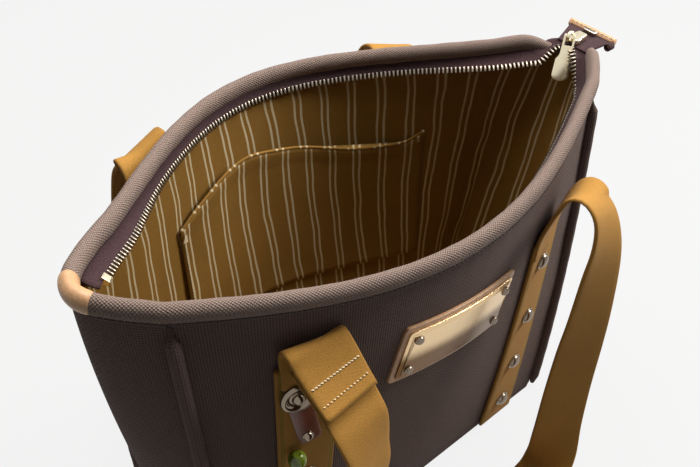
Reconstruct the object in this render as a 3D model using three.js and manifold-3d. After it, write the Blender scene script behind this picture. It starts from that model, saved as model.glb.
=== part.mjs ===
// Zip-top canvas shoulder bag with two webbing handles, a blank metal plate, a striped lining
// with a patch pocket, and a small charm. Millimetres, +Z up, +X along the mouth, -Y to the front.
// The origin is the middle of the underside.
import * as THREE from 'three';
import Module from 'manifold-3d';
import { mergeVertices } from 'three/addons/utils/BufferGeometryUtils.js';

const wasm = await Module();
wasm.setup();

// ---- Driving dimensions ----
const FRONT = -1;
const BACK = 1;
const LEFT = -1;
const RIGHT = 1;

const BODY_HALF_LENGTH = 163; // middle to the corner piping, along X
const BASE_HALF_DEPTH = 63;
const RIM_MID_HEIGHT = 263.3; // centre of the rim roll in the middle of the mouth
const RIM_TIP_RISE = 21.5; // how much higher the roll is at the two tips
const TIP_REACH = 29; // how far the rim's tips stand out past the corner pipings
const RIM_TIP_X = BODY_HALF_LENGTH + TIP_REACH;
const RIM_BULGE = { [FRONT]: 78.5, [BACK]: 124 }; // mouth's half depth in the middle
const RIM_CORNER_DEPTH = { [FRONT]: 31.5, [BACK]: 34 }; // mouth's half depth at the pipings
const BULGE_POWER = { [FRONT]: 1, [BACK]: 1.1 };
const TIP_BLUNTNESS = 0.6; // 0 is a sharp gusset fold, 1 a round one
const TIP_SPREAD_POWER = 1.5; // how early the gusset folds outwards above the base

const GAP = 0.3; // clearance between sewn pieces
const CANVAS_THICKNESS = 2;
const CANVAS_FACE = 1.2; // canvas face, outside the body's middle surface
const LINING_THICKNESS = 0.8;
const LINING_GAP = 0.9; // between the lining and what it hangs against
const BOARD_THICKNESS = 2.5;
const BOARD_MARGIN = 1.2; // between the board and the walls
const BASE_CORNER_RADIUS = 8;

const PIPING_RADIUS = 3.5;
const PIPING_PROUD = 2.7; // piping centre, outside the body's corner line
const PIPING_TOP_DROP = 16; // below the roll's centre
const SEAM_INSET_BASE = 2.2;
const SEAM_INSET_RIM = 3.8;

const ROLL_HALF_THICKNESS = 4.5;
const ROLL_HALF_HEIGHT = 7;
const TIP_TAB_HALF_LENGTH = 11.7;
const TIP_TAB_GAP = 1;
const TIP_TAB_COVER = 0.8; // leather over the roll
const RIGHT_TIP_END = { [FRONT]: 9.9, [BACK]: 20 }; // where the rolls stop at the zip's tail

const POCKET_CENTRE_X = 12;
const POCKET_HALF_WIDTH = 104;
const POCKET_BOTTOM = 96;
const POCKET_TOP = 214;
const POCKET_THICKNESS = 1;
const POCKET_GAPE = 16;

const STRAP_X = 101;
const STRAP_HALF_WIDTH = 18;
const STRAP_THICKNESS = 2.6;
const STRIP_GAP = 0.8; // between a strip and the curved wall behind it
const STRIP_BOTTOM = 4;
const STRIP_LIP_LENGTH = { [FRONT]: 20, [BACK]: 42 }; // free top of a strip, clear of the wall
const LOOP_RADIUS = 18.5;
const LOOP_HEIGHT = { [FRONT]: 232.5, [BACK]: 250 };
const HANDLE_CLEARANCE = 0.5;
const HANDLE_REST_HEIGHT = 1.4; // under the webbing where it lies on the table
const HANDLE_FOOT_BEND = 15;
const STITCHED_END_LENGTH = 34;

const STUD_RADIUS = 6.5;
const STUD_HEIGHT = 4;
const STUD_HEIGHTS = [27, 74, 125, 179];
const CHARM_STRIP_STUDS = 3; // the charm hangs where the top stud would be

const PLATE_X = 3;
const PLATE_Z = 191;
const PLATE_TILT = -9; // degrees, its left end the higher
const PATCH_WIDTH = 100;
const PATCH_HEIGHT = 46;
const PATCH_THICKNESS = 2.4;
const PLATE_MARGIN = 4;
const PLATE_THICKNESS = 1.8;
const RIVET_RADIUS = 3.2;
const RIVET_HEIGHT = 2.4;
const RIVET_INSET = 7;

const TAPE_THICKNESS = 0.8;
const TAPE_ROOT = { inset: 4, drop: 5 }; // from the roll's centre, inwards and down
const TAPE_EDGE = { [FRONT]: { inset: 8.5, drop: 13.5 }, [BACK]: { inset: 12, drop: 9.6 } };
const TEETH_WIDTH = 3.4;
const TEETH_THICKNESS = 2.2;
const STOP_LENGTH = 5;
const STOP_START = 0.01; // share of the rim before the top stops
const STOP_THICKNESS = 3.4;

const TAPE_STOP = 22; // where the tapes end, from the middle of the right tip

const TAIL_ROOT_X = RIM_TIP_X - 5;
const TAIL_END_X = TAIL_ROOT_X + 24;
const TAIL_ROOT_HALF_WIDTH = 12;
const TAIL_END_HALF_WIDTH = 17.5;
const TAIL_ROOT_Y = 4;
const TAIL_END_Y = 7.5;
const TAIL_THICKNESS = 1.6;
const TAIL_Z = RIM_MID_HEIGHT + RIM_TIP_RISE - 2.8;
const TAIL_LEATHER_WIDTH = 6;
const TAIL_LEATHER_HEIGHT = 6;

const SLIDER_Y = 6;
const SLIDER_LENGTH = 14;
const SLIDER_WIDTH = 10.5;
const SLIDER_THICKNESS = 4;
const SLIDER_OVERHANG = 0.5; // nose beyond the root of the tail
const BAIL_RADIUS = 3;
const BAIL_WIRE = 0.9;
const BAIL_EDGE = 2; // from the bail's centre to the slider's nose and top
const PULL_LENGTH = 31;
const PULL_EYE_LENGTH = 4.6;
const PULL_EYE_WIDTH = 4.4;
const PULL_BAR = 1.1; // bar of the eye, half its width
const PULL_NECK_WIDTH = 8;
const PULL_NECK_LENGTH = 14;
const PULL_BLADE_WIDTH = 12;
const PULL_THICKNESS = 1.6;
const PULL_LEAN = 10; // degrees off plumb, towards the bag's left
const RETAINER_LENGTH = 3.5;
const RETAINER_WIDTH = 10;
const RETAINER_HEIGHT = 3;

const RING_WIRE = 1.3;
const RING_HALF_WIDTH = 6.5;
const RING_DROP = 10.5;
const RING_X = TAIL_END_X - 4.5;
const RING_TAB_LENGTH = 5.5;
const RING_TAB_RADIUS = 2.7;
const RING_PLAY = 0.4;

const CHARM_X = -108;
const CHARM_Z = 205;
const CHARM_HEAD_RADIUS = 9.5;
const CHARM_HEAD_HEIGHT = 4.5;
const CHARM_STANDOFF = 0.9; // leather tab's back, in front of the strip
const CHARM_TAB_WIDTH = 14;
const CHARM_TAB_LENGTH = 44;
const CHARM_TAB_THICKNESS = 1.8;
const CHARM_BEAD_RADIUS = 5.5;

// ---- Colours ----
const COLOURS = {
  canvas: [0x4b3d3a, 0.85, 0],
  lining: [0x6e4a16, 0.8, 0],
  webbing: [0x8a6523, 0.85, 0],
  leather: [0xc98f55, 0.6, 0],
  darkLeather: [0x5a2415, 0.5, 0],
  brass: [0xd8b573, 0.2, 1],
  steel: [0xb9b5ac, 0.25, 1],
  tape: [0x33262a, 0.9, 0],
  board: [0x20180f, 0.9, 0],
  bead: [0x6f8f14, 0.15, 0],
};

const root = new THREE.Group();

function finish(name) {
  const [color, roughness, metalness] = COLOURS[name];
  return new THREE.MeshStandardMaterial({ color, roughness, metalness });
}

function add(name, geometry, colour, parent = root) {
  const mesh = new THREE.Mesh(geometry, finish(colour));
  mesh.name = name;
  parent.add(mesh);
  return mesh;
}

// ---- Geometry helpers ----
const clamp01 = (value) => Math.min(1, Math.max(0, value));
const smooth = (value) => clamp01(value) ** 2 * (3 - 2 * clamp01(value));
const mix = THREE.MathUtils.lerp;

// Moves every corner of a geometry by a function that takes and returns a Vector3.
function bend(geometry, place) {
  const position = geometry.attributes.position;
  const corner = new THREE.Vector3();
  for (let i = 0; i < position.count; i += 1) {
    corner.fromBufferAttribute(position, i);
    const moved = place(corner, i);
    position.setXYZ(i, moved.x, moved.y, moved.z);
  }
  geometry.deleteAttribute('normal');
  geometry.deleteAttribute('uv');
  geometry.clearGroups();
  return facesOut(mergeVertices(geometry, 1e-4));
}

// Turns a closed geometry's faces outwards if they point in.
function facesOut(geometry) {
  const { position } = geometry.attributes;
  const { index } = geometry;
  const [a, b, c] = [new THREE.Vector3(), new THREE.Vector3(), new THREE.Vector3()];
  let volume = 0;
  for (let i = 0; i < index.count; i += 3) {
    a.fromBufferAttribute(position, index.getX(i));
    b.fromBufferAttribute(position, index.getX(i + 1));
    c.fromBufferAttribute(position, index.getX(i + 2));
    volume += a.dot(b.cross(c));
  }
  for (let i = 0; volume < 0 && i < index.count; i += 3) {
    const first = index.getX(i);
    index.setX(i, index.getX(i + 1));
    index.setX(i + 1, first);
  }
  geometry.computeVertexNormals();
  return geometry;
}

function toSolid(geometry) {
  const bare = geometry.clone();
  bare.deleteAttribute('normal');
  bare.deleteAttribute('uv');
  const merged = mergeVertices(bare, 1e-4);
  const vertProperties = new Float32Array(merged.attributes.position.array);
  const triVerts = new Uint32Array(merged.index.array);
  return new wasm.Manifold(new wasm.Mesh({ numProp: 3, vertProperties, triVerts }));
}

function toGeometry(solid) {
  const mesh = solid.getMesh();
  const geometry = new THREE.BufferGeometry();
  geometry.setAttribute('position', new THREE.BufferAttribute(new Float32Array(mesh.vertProperties), 3));
  geometry.setIndex(new THREE.BufferAttribute(new Uint32Array(mesh.triVerts), 1));
  geometry.computeVertexNormals();
  return geometry;
}

function join(geometries) {
  return toGeometry(geometries.map(toSolid).reduce((a, b) => a.add(b)));
}

// ---- The body's middle surface ----
const rimHeight = (x) => RIM_MID_HEIGHT + RIM_TIP_RISE * (x / RIM_TIP_X) ** 2;
const cornerDepth = (side, v) => mix(BASE_HALF_DEPTH, RIM_CORNER_DEPTH[side], v);
const middleDepth = (side, v) => mix(BASE_HALF_DEPTH, RIM_BULGE[side], v);

// A point of the front or back wall: s runs from -1 at the left piping to 1 at the right one,
// v from 0 at the base to 1 at the centre of the rim roll.
function wallPoint(side, s, v) {
  const x = s * BODY_HALF_LENGTH;
  const profile = Math.max(0, Math.cos((s * Math.PI) / 2)) ** BULGE_POWER[side];
  const depth = mix(cornerDepth(side, v), middleDepth(side, v), profile);
  return new THREE.Vector3(x, side * depth, v * rimHeight(x));
}

// A point of a gusset: s runs from -1 at the front piping to 1 at the back one.
function gussetPoint(side, s, v) {
  const rise = 1 - Math.max(1 - v, 0) ** TIP_SPREAD_POWER;
  const spread = TIP_REACH * rise;
  const soft = (value) => Math.hypot(value, TIP_BLUNTNESS) - TIP_BLUNTNESS;
  const x = side * (BODY_HALF_LENGTH + spread * (1 - soft(s) / soft(1)));
  const y = s * cornerDepth(s < 0 ? FRONT : BACK, v);
  return new THREE.Vector3(x, y, v * rimHeight(x));
}

// A surface point moved outwards by d. outward is any vector that points roughly out.
function offsetPoint(surface, s, v, d, outward) {
  const step = 1e-3;
  const along = surface(s + step, v).sub(surface(s - step, v));
  const up = surface(s, v + step).sub(surface(s, Math.max(v - step, 0)));
  const normal = along.cross(up).normalize();
  if (normal.dot(outward) < 0) normal.negate();
  return surface(s, v).addScaledVector(normal, d);
}

const wallOffset = (side) => (s, v, d) =>
  offsetPoint((a, b) => wallPoint(side, a, b), s, v, d, new THREE.Vector3(0, side, 0));
const gussetOffset = (side) => (s, v, d) =>
  offsetPoint((a, b) => gussetPoint(side, a, b), s, v, d, new THREE.Vector3(side, 0, 0));

// Height as a share of the roll's height at a place along the wall.
const wallShare = (x, z) => z / rimHeight(x);

// A bent box between two offsets of a surface. range(v) gives the first and last s at that height.
function panel(surface, range, vStart, vEnd, inner, outer, columns, rows) {
  const box = new THREE.BoxGeometry(1, 1, 1, columns, rows, 1);
  return bend(box, (corner) => {
    const v = mix(vStart, vEnd, corner.y + 0.5);
    const [first, last] = range(v);
    return surface(mix(first, last, corner.x + 0.5), v, mix(inner, outer, corner.z + 0.5));
  });
}

// ---- Sweeps ----
// frame(t) gives the point, the across direction and the face direction at a share t of the path.
function ribbon(frame, halfWidth, thickness, steps, columns = 1) {
  const box = new THREE.BoxGeometry(1, 1, 1, steps, columns, 1);
  return bend(box, (corner) => {
    const { point, across, face } = frame(corner.x + 0.5);
    return point
      .addScaledVector(across, 2 * halfWidth * corner.y)
      .addScaledVector(face, thickness * corner.z);
  });
}

// A rod of elliptical section along a path.
function rod(frame, halfAcross, halfFace, sides, steps) {
  const cylinder = new THREE.CylinderGeometry(1, 1, 1, sides, steps);
  return bend(cylinder, (corner) => {
    const { point, across, face } = frame(corner.y + 0.5);
    return point
      .addScaledVector(across, halfAcross * corner.x)
      .addScaledVector(face, halfFace * corner.z);
  });
}

// ---- Rim path ----
// Points of the mouth's edge from the left tip to the right one, along the front or the back.
function rimCurve(side, leftEnd, rightEnd) {
  const points = [];
  const gussetSteps = 5;
  const wallSteps = 26;
  const leftShare = leftEnd / RIM_CORNER_DEPTH[side];
  const rightShare = rightEnd / RIM_CORNER_DEPTH[side];
  for (let i = 0; i < gussetSteps; i += 1) {
    points.push(gussetPoint(LEFT, side * mix(leftShare, 1, i / gussetSteps), 1));
  }
  for (let i = 0; i <= wallSteps; i += 1) {
    points.push(wallPoint(side, mix(-1, 1, i / wallSteps), 1));
  }
  for (let i = gussetSteps - 1; i >= 0; i -= 1) {
    points.push(gussetPoint(RIGHT, side * mix(rightShare, 1, i / gussetSteps), 1));
  }
  return new THREE.CatmullRomCurve3(points);
}

// Frame along a level curve: face points up and across points away from the bag's middle.
function levelFrame(curve, inset, drop) {
  return (t) => {
    const point = curve.getPointAt(clamp01(t));
    const along = curve.getTangentAt(clamp01(t));
    const across = new THREE.Vector3(along.y, -along.x, 0).normalize();
    if (across.dot(new THREE.Vector3(point.x * 0.2, point.y, 0)) < 0) across.negate();
    const face = new THREE.Vector3().crossVectors(along, across).normalize();
    if (face.z < 0) face.negate();
    point.addScaledVector(across, -inset);
    point.z -= drop;
    return { point, across, face };
  };
}

// ---- Canvas shell ----
const seamInset = (v) => mix(SEAM_INSET_BASE, SEAM_INSET_RIM, v);
const wallRange = (v) => {
  const s = 1 - seamInset(v) / BODY_HALF_LENGTH;
  return [-s, s];
};
const gussetRange = (v) => {
  const front = 1 - seamInset(v) / cornerDepth(FRONT, v);
  const back = 1 - seamInset(v) / cornerDepth(BACK, v);
  return [-front, back];
};
const CANVAS_INSIDE = CANVAS_FACE - CANVAS_THICKNESS;
const WALL_START = (CANVAS_THICKNESS + GAP) / RIM_MID_HEIGHT;
const WALL_END = 1 - (ROLL_HALF_HEIGHT + TIP_TAB_COVER + GAP) / RIM_MID_HEIGHT;

function makeShell() {
  for (const [name, side] of [['front_panel', FRONT], ['back_panel', BACK]]) {
    const surface = wallOffset(side);
    add(name, panel(surface, wallRange, WALL_START, WALL_END, CANVAS_INSIDE, CANVAS_FACE, 26, 7), 'canvas');
  }
  for (const [name, side] of [['left_gusset', LEFT], ['right_gusset', RIGHT]]) {
    const surface = gussetOffset(side);
    add(name, panel(surface, gussetRange, WALL_START, WALL_END, CANVAS_INSIDE, CANVAS_FACE, 12, 7), 'canvas');
  }
}

function roundedPlate(halfLength, halfDepth, radius, thickness, z) {
  const shape = new THREE.Shape();
  shape.moveTo(-halfLength + radius, -halfDepth);
  shape.lineTo(halfLength - radius, -halfDepth);
  shape.absarc(halfLength - radius, -halfDepth + radius, radius, -Math.PI / 2, 0);
  shape.lineTo(halfLength, halfDepth - radius);
  shape.absarc(halfLength - radius, halfDepth - radius, radius, 0, Math.PI / 2);
  shape.lineTo(-halfLength + radius, halfDepth);
  shape.absarc(-halfLength + radius, halfDepth - radius, radius, Math.PI / 2, Math.PI);
  shape.lineTo(-halfLength, -halfDepth + radius);
  shape.absarc(-halfLength + radius, -halfDepth + radius, radius, Math.PI, 1.5 * Math.PI);
  const plate = new THREE.ExtrudeGeometry(shape, { depth: thickness, bevelEnabled: false, curveSegments: 5 });
  plate.translate(0, 0, z);
  return plate;
}

function makeBase() {
  const outLength = BODY_HALF_LENGTH + CANVAS_FACE;
  const outDepth = BASE_HALF_DEPTH + CANVAS_FACE;
  const canvas = roundedPlate(outLength, outDepth, BASE_CORNER_RADIUS / 2, CANVAS_THICKNESS, 0);
  add('base_panel', canvas, 'canvas');
  const shrink = BOARD_MARGIN - CANVAS_INSIDE;
  const board = roundedPlate(
    BODY_HALF_LENGTH - shrink,
    BASE_HALF_DEPTH - shrink,
    BASE_CORNER_RADIUS,
    BOARD_THICKNESS,
    CANVAS_THICKNESS + GAP,
  );
  add('base_board', board, 'board');
}

function makePipings() {
  const corners = [['front_left', FRONT, LEFT], ['front_right', FRONT, RIGHT], ['back_left', BACK, LEFT]];
  corners.push(['back_right', BACK, RIGHT]);
  for (const [name, side, end] of corners) {
    const centre = (v) => {
      const wall = wallOffset(side);
      const gusset = gussetOffset(end);
      const wallNormal = wall(end, v, 1).sub(wall(end, v, 0));
      const gussetNormal = gusset(side, v, 1).sub(gusset(side, v, 0));
      const outward = wallNormal.add(gussetNormal).normalize();
      return wallPoint(side, end, v).addScaledVector(outward, PIPING_PROUD);
    };
    const top = 1 - PIPING_TOP_DROP / RIM_MID_HEIGHT;
    const points = [WALL_START, 0.12, 0.3, 0.5, 0.7, 0.86, top].map(centre);
    const curve = new THREE.CatmullRomCurve3(points);
    const frame = (t) => {
      const along = curve.getTangentAt(clamp01(t));
      const across = new THREE.Vector3().crossVectors(along, new THREE.Vector3(0, 1, 0)).normalize();
      const face = new THREE.Vector3().crossVectors(across, along).normalize();
      return { point: curve.getPointAt(clamp01(t)), across, face: face.negate() };
    };
    add(`${name}_piping`, rod(frame, PIPING_RADIUS, PIPING_RADIUS, 8, 7), 'canvas');
  }
}

function makeRim() {
  const end = TIP_TAB_HALF_LENGTH + TIP_TAB_GAP;
  const frontCurve = rimCurve(FRONT, end, RIGHT_TIP_END[FRONT]);
  const backCurve = rimCurve(BACK, end, RIGHT_TIP_END[BACK]);
  const roll = (curve) =>
    rod(levelFrame(curve, 0, 0), ROLL_HALF_THICKNESS, ROLL_HALF_HEIGHT, 10, 44);
  add('front_rim_roll', roll(frontCurve), 'canvas');
  add('back_rim_roll', roll(backCurve), 'canvas');
  const tipPoints = [-1, -0.5, 0, 0.5, 1].map((share) => {
    const y = share * TIP_TAB_HALF_LENGTH;
    return gussetPoint(LEFT, y / RIM_CORNER_DEPTH[y < 0 ? FRONT : BACK], 1);
  });
  const tipFrame = levelFrame(new THREE.CatmullRomCurve3(tipPoints), 0, 0);
  const across = ROLL_HALF_THICKNESS + TIP_TAB_COVER;
  const tall = ROLL_HALF_HEIGHT + TIP_TAB_COVER;
  add('left_tip_tab', rod(tipFrame, across, tall, 12, 6), 'leather');
}

// ---- Lining ----
const LINING_FACE = CANVAS_INSIDE - LINING_GAP;
const LINING_FLOOR = CANVAS_THICKNESS + GAP + BOARD_THICKNESS + GAP;
const LINING_LEVELS = 9;
const LINING_WALL_COLUMNS = 24;
const LINING_GUSSET_COLUMNS = 8;
const LINING_TRIM = 0.975; // how far along a wall the lining goes before it turns the corner
const LINING_END_TRIM = 0.91; // and how far along an end
const LINING_HALF = LINING_WALL_COLUMNS + LINING_GUSSET_COLUMNS;

// A point of the lining's wall at a column counted all the way round from the front left corner.
function perimeterPoint(column, v, d) {
  const isFront = column < LINING_HALF;
  const step = column % LINING_HALF;
  if (step <= LINING_WALL_COLUMNS) {
    const s = LINING_TRIM * mix(-1, 1, step / LINING_WALL_COLUMNS);
    return isFront ? wallOffset(FRONT)(s, v, d) : wallOffset(BACK)(-s, v, d);
  }
  const share = (step - LINING_WALL_COLUMNS - 1) / (LINING_GUSSET_COLUMNS - 2);
  const s = LINING_END_TRIM * mix(-1, 1, share);
  return isFront ? gussetOffset(RIGHT)(s, v, d) : gussetOffset(LEFT)(-s, v, d);
}

function makeLining() {
  const floorShare = LINING_FLOOR / RIM_MID_HEIGHT;
  const inside = LINING_FACE - LINING_THICKNESS;
  const rings = [{ centre: true, v: floorShare, d: LINING_FACE }];
  for (let i = 0; i <= LINING_LEVELS; i += 1) {
    rings.push({ v: mix(floorShare, WALL_END, i / LINING_LEVELS), d: LINING_FACE });
  }
  const insideFloor = (LINING_FLOOR + LINING_THICKNESS) / RIM_MID_HEIGHT;
  for (let i = LINING_LEVELS; i >= 0; i -= 1) {
    rings.push({ v: mix(insideFloor, WALL_END, i / LINING_LEVELS), d: inside });
  }
  rings.push({ centre: true, v: insideFloor, d: inside });
  const profile = rings.map((ring, j) => new THREE.Vector2(ring.centre ? 0 : 1, j));
  const lathe = new THREE.LatheGeometry(profile, 2 * LINING_HALF);
  const bag = bend(lathe, (corner, i) => {
    const ring = rings[i % rings.length];
    const column = Math.floor(i / rings.length) % (2 * LINING_HALF);
    const level = ring.v * RIM_MID_HEIGHT;
    if (ring.centre) return new THREE.Vector3(0, 0, level);
    const point = perimeterPoint(column, ring.v, ring.d);
    const isFloor = ring.v === floorShare || ring.v === insideFloor;
    if (isFloor) point.z = level;
    return point;
  });
  add('lining', bag, 'lining');
}

function makePocket() {
  const wall = wallOffset(BACK);
  const liningInside = LINING_FACE - LINING_THICKNESS;
  const surface = (a, b, d) => {
    const x = POCKET_CENTRE_X + a * POCKET_HALF_WIDTH;
    const z = mix(POCKET_BOTTOM, POCKET_TOP, b);
    const gape = POCKET_GAPE * (1 - a * a) * clamp01(b) ** 1.5;
    return wall(x / BODY_HALF_LENGTH, wallShare(x, z), liningInside - LINING_GAP - gape + d);
  };
  const pocket = panel(surface, () => [-1, 1], 0, 1, -POCKET_THICKNESS, 0, 14, 7);
  add('inner_pocket', pocket, 'lining');
}

// ---- Webbing ----
// The loop axis of a handle is level with LOOP_HEIGHT and LOOP_STANDOFF from the middle plane.
const STRIP_FACE = CANVAS_FACE + STRIP_GAP + STRAP_THICKNESS;

// The loop axis stands far enough off for the whole width of the webbing to turn past the wall.
function loopStandoff(side) {
  const x = STRAP_X - STRAP_HALF_WIDTH;
  const wall = Math.abs(wallPoint(side, x / BODY_HALF_LENGTH, wallShare(x, LOOP_HEIGHT[side])).y);
  return wall + 1.15 * STRIP_FACE + HANDLE_CLEARANCE + STRAP_THICKNESS / 2 + LOOP_RADIUS;
}

const LOOP_STANDOFF = { [FRONT]: loopStandoff(FRONT), [BACK]: loopStandoff(BACK) };

// A strip is sewn up the wall, and its top turns out to meet the handle's loop.
function makeStrip(name, side, end) {
  const wall = wallOffset(side);
  const top = LOOP_HEIGHT[side] - GAP;
  const lipDepth = LOOP_STANDOFF[side] - LOOP_RADIUS - STRAP_THICKNESS / 2 - HANDLE_CLEARANCE;
  const surface = (a, b, d) => {
    const x = end * STRAP_X + a * STRAP_HALF_WIDTH;
    const z = mix(STRIP_BOTTOM, top, b);
    const point = wall(x / BODY_HALF_LENGTH, wallShare(x, z), CANVAS_FACE + STRIP_GAP + d);
    const turn = smooth(1 - (top - z) / STRIP_LIP_LENGTH[side]);
    const reach = lipDepth - STRAP_THICKNESS + d;
    point.y = mix(point.y, side * reach, turn);
    return point;
  };
  const strip = panel(surface, () => [-1, 1], 0, 1, 0, STRAP_THICKNESS, 5, 14);
  add(name, strip, 'webbing');
}

const LOOP_STEPS = 6;

// Key points of a handle from its left end to its right one: place and across direction.
function wideLoopKeys(side, end) {
  const standoff = LOOP_STANDOFF[side];
  const height = LOOP_HEIGHT[side];
  const keys = [];
  for (let i = 0; i <= LOOP_STEPS; i += 1) {
    const angle = (i * Math.PI) / LOOP_STEPS;
    const depth = standoff - LOOP_RADIUS * Math.cos(angle);
    const z = height + LOOP_RADIUS * Math.sin(angle);
    keys.push([end * STRAP_X, side * depth, z, 1, 0]);
  }
  return keys;
}

function foldedEndKeys(side, end) {
  const standoff = LOOP_STANDOFF[side];
  const height = LOOP_HEIGHT[side];
  return [
    [end * STRAP_X, side * (standoff - LOOP_RADIUS), height, 1, 0],
    [end * STRAP_X, side * (standoff - 14.5), height + 9.3, 1, 0],
    [end * STRAP_X, side * (standoff - 7), height + 5, 1, -0.12],
    [end * STRAP_X, side * (standoff + 4), height - 11.5, 1, -0.35],
    [end * STRAP_X, side * (standoff + 13), height - 28, 1, -0.2],
  ];
}

// The leg of a handle, falling to the table and turning inwards there.
function legKeys(side, end) {
  const drop = LOOP_STANDOFF[side] + LOOP_RADIUS;
  const floor = HANDLE_REST_HEIGHT + STRAP_THICKNESS / 2;
  return [
    [end * STRAP_X, side * drop, 180, 1, 0.28],
    [end * STRAP_X, side * (drop + 1), 135, 1, 0.45],
    [end * (STRAP_X - 1), side * (drop + 3), 90, 1, 0.65],
    [end * (STRAP_X - 2), side * (drop + 6), 48, 0.7, 0.72],
    [end * (STRAP_X - 4), side * (drop + 9), floor + HANDLE_FOOT_BEND * 1.2, 0.45, 0.9],
    [end * (STRAP_X - 4 - HANDLE_FOOT_BEND), side * (drop + 11), floor + 0.6, 0.12, 1],
    [end * (STRAP_X - 40), side * (drop + 13), floor, 0, 1],
  ];
}

// Along the whole handle. across.x is mirrored on the right so that one edge stays one edge.
function handleFrame(side, leftTopKeys) {
  const left = [...leftTopKeys(side, LEFT), ...legKeys(side, LEFT)];
  const right = [...wideLoopKeys(side, RIGHT), ...legKeys(side, RIGHT)].reverse();
  const floor = HANDLE_REST_HEIGHT + STRAP_THICKNESS / 2;
  const middle = [0, side * (LOOP_STANDOFF[side] + LOOP_RADIUS + 16), floor, 0, 1];
  const keys = [
    ...left.map(([x, y, z, ax, ay]) => [x, y, z, ax, -side * ay]),
    middle.map((value, i) => (i === 4 ? -side : value)),
    ...right.map(([x, y, z, ax, ay]) => [x, y, z, -ax, -side * ay]),
  ];
  const curve = new THREE.CatmullRomCurve3(keys.map(([x, y, z]) => new THREE.Vector3(x, y, z)));
  const last = keys.length - 1;
  return (t) => {
    const u = clamp01(t);
    const k = Math.min(Math.floor(u * last), last - 1);
    const share = u * last - k;
    const across = new THREE.Vector3(
      mix(keys[k][3], keys[k + 1][3], share),
      mix(keys[k][4], keys[k + 1][4], share),
      0,
    );
    const along = curve.getTangent(u);
    across.addScaledVector(along, -across.dot(along)).normalize();
    const face = new THREE.Vector3().crossVectors(along, across).normalize();
    return { point: curve.getPoint(u), across, face, last };
  };
}

function makeHandles() {
  const steps = 3;
  const frontFrame = handleFrame(FRONT, foldedEndKeys);
  const count = frontFrame(0).last * steps;
  const front = ribbon(frontFrame, STRAP_HALF_WIDTH, STRAP_THICKNESS, count);
  add('front_handle', front, 'webbing');
  const back = ribbon(handleFrame(BACK, wideLoopKeys), STRAP_HALF_WIDTH, STRAP_THICKNESS, count);
  add('back_handle', back, 'webbing');
  const from = 1.6 / frontFrame(0).last;
  const start = frontFrame(from).point;
  let to = from;
  while (frontFrame(to).point.distanceTo(start) < STITCHED_END_LENGTH) to += 0.0005;
  const flapFrame = (t) => {
    const frame = frontFrame(mix(from, to, t));
    const outwards = frame.face.clone().multiplyScalar(frame.face.y < 0 ? 1 : -1);
    frame.point.addScaledVector(outwards, STRAP_THICKNESS + 5 * GAP);
    return frame;
  };
  const flap = ribbon(flapFrame, STRAP_HALF_WIDTH - 0.5, STRAP_THICKNESS, 9);
  add('front_handle_stitched_end', flap, 'webbing');
}

// ---- Studs and rivets ----
// A domed head on a thin flange, its seat at z = 0 and its dome along +Z.
function domedHead(radius, height, segments) {
  const flange = height * 0.2;
  const domeRadius = radius * 0.82;
  const steps = 4;
  const profile = [new THREE.Vector2(0, 0), new THREE.Vector2(radius, 0), new THREE.Vector2(radius, flange)];
  for (let i = 0; i < steps; i += 1) {
    const angle = (i * Math.PI) / 2 / steps;
    const z = flange + (height - flange) * Math.sin(angle);
    profile.push(new THREE.Vector2(domeRadius * Math.cos(angle), z));
  }
  profile.push(new THREE.Vector2(0, height));
  return new THREE.LatheGeometry(profile, segments).rotateX(Math.PI / 2);
}

// Stands an object whose seat is its own z = 0 on the front or back wall, its +Y up the wall.
function seatOnWall(mesh, side, x, z, distance) {
  const wall = wallOffset(side);
  const s = x / BODY_HALF_LENGTH;
  const v = wallShare(x, z);
  const seat = wall(s, v, distance);
  const normal = wall(s, v, distance + 1).sub(seat).normalize();
  const across = new THREE.Vector3(0, 0, 1).cross(normal).normalize();
  const up = new THREE.Vector3().crossVectors(normal, across);
  mesh.position.copy(seat);
  mesh.quaternion.setFromRotationMatrix(new THREE.Matrix4().makeBasis(across, up, normal));
}

const STRIPS = [
  ['front_left', FRONT, LEFT],
  ['front_right', FRONT, RIGHT],
  ['back_left', BACK, LEFT],
  ['back_right', BACK, RIGHT],
];

function makeStrips() {
  for (const [name, side, end] of STRIPS) {
    makeStrip(`${name}_strip`, side, end);
    const count = name === 'front_left' ? CHARM_STRIP_STUDS : STUD_HEIGHTS.length;
    STUD_HEIGHTS.slice(0, count).forEach((z, i) => {
      const stud = add(`${name}_stud_${i + 1}`, domedHead(STUD_RADIUS, STUD_HEIGHT, 12), 'steel');
      seatOnWall(stud, side, end * STRAP_X, z, STRIP_FACE + GAP + 0.1);
    });
  }
}

// ---- Plate ----
// Where a point of the level plate, counted from its middle, is on the wall.
function platePlace(across, up) {
  const tilt = THREE.MathUtils.degToRad(PLATE_TILT);
  const turned = new THREE.Vector2(across, up).rotateAround(new THREE.Vector2(), tilt);
  return { x: PLATE_X + turned.x, z: PLATE_Z + turned.y };
}

function plateBox(width, height, inner, outer) {
  const wall = wallOffset(FRONT);
  const surface = (a, b, d) => {
    const { x, z } = platePlace((a * width) / 2, (b - 0.5) * height);
    return wall(x / BODY_HALF_LENGTH, wallShare(x, z), d);
  };
  return panel(surface, () => [-1, 1], 0, 1, inner, outer, 6, 1);
}

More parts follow.
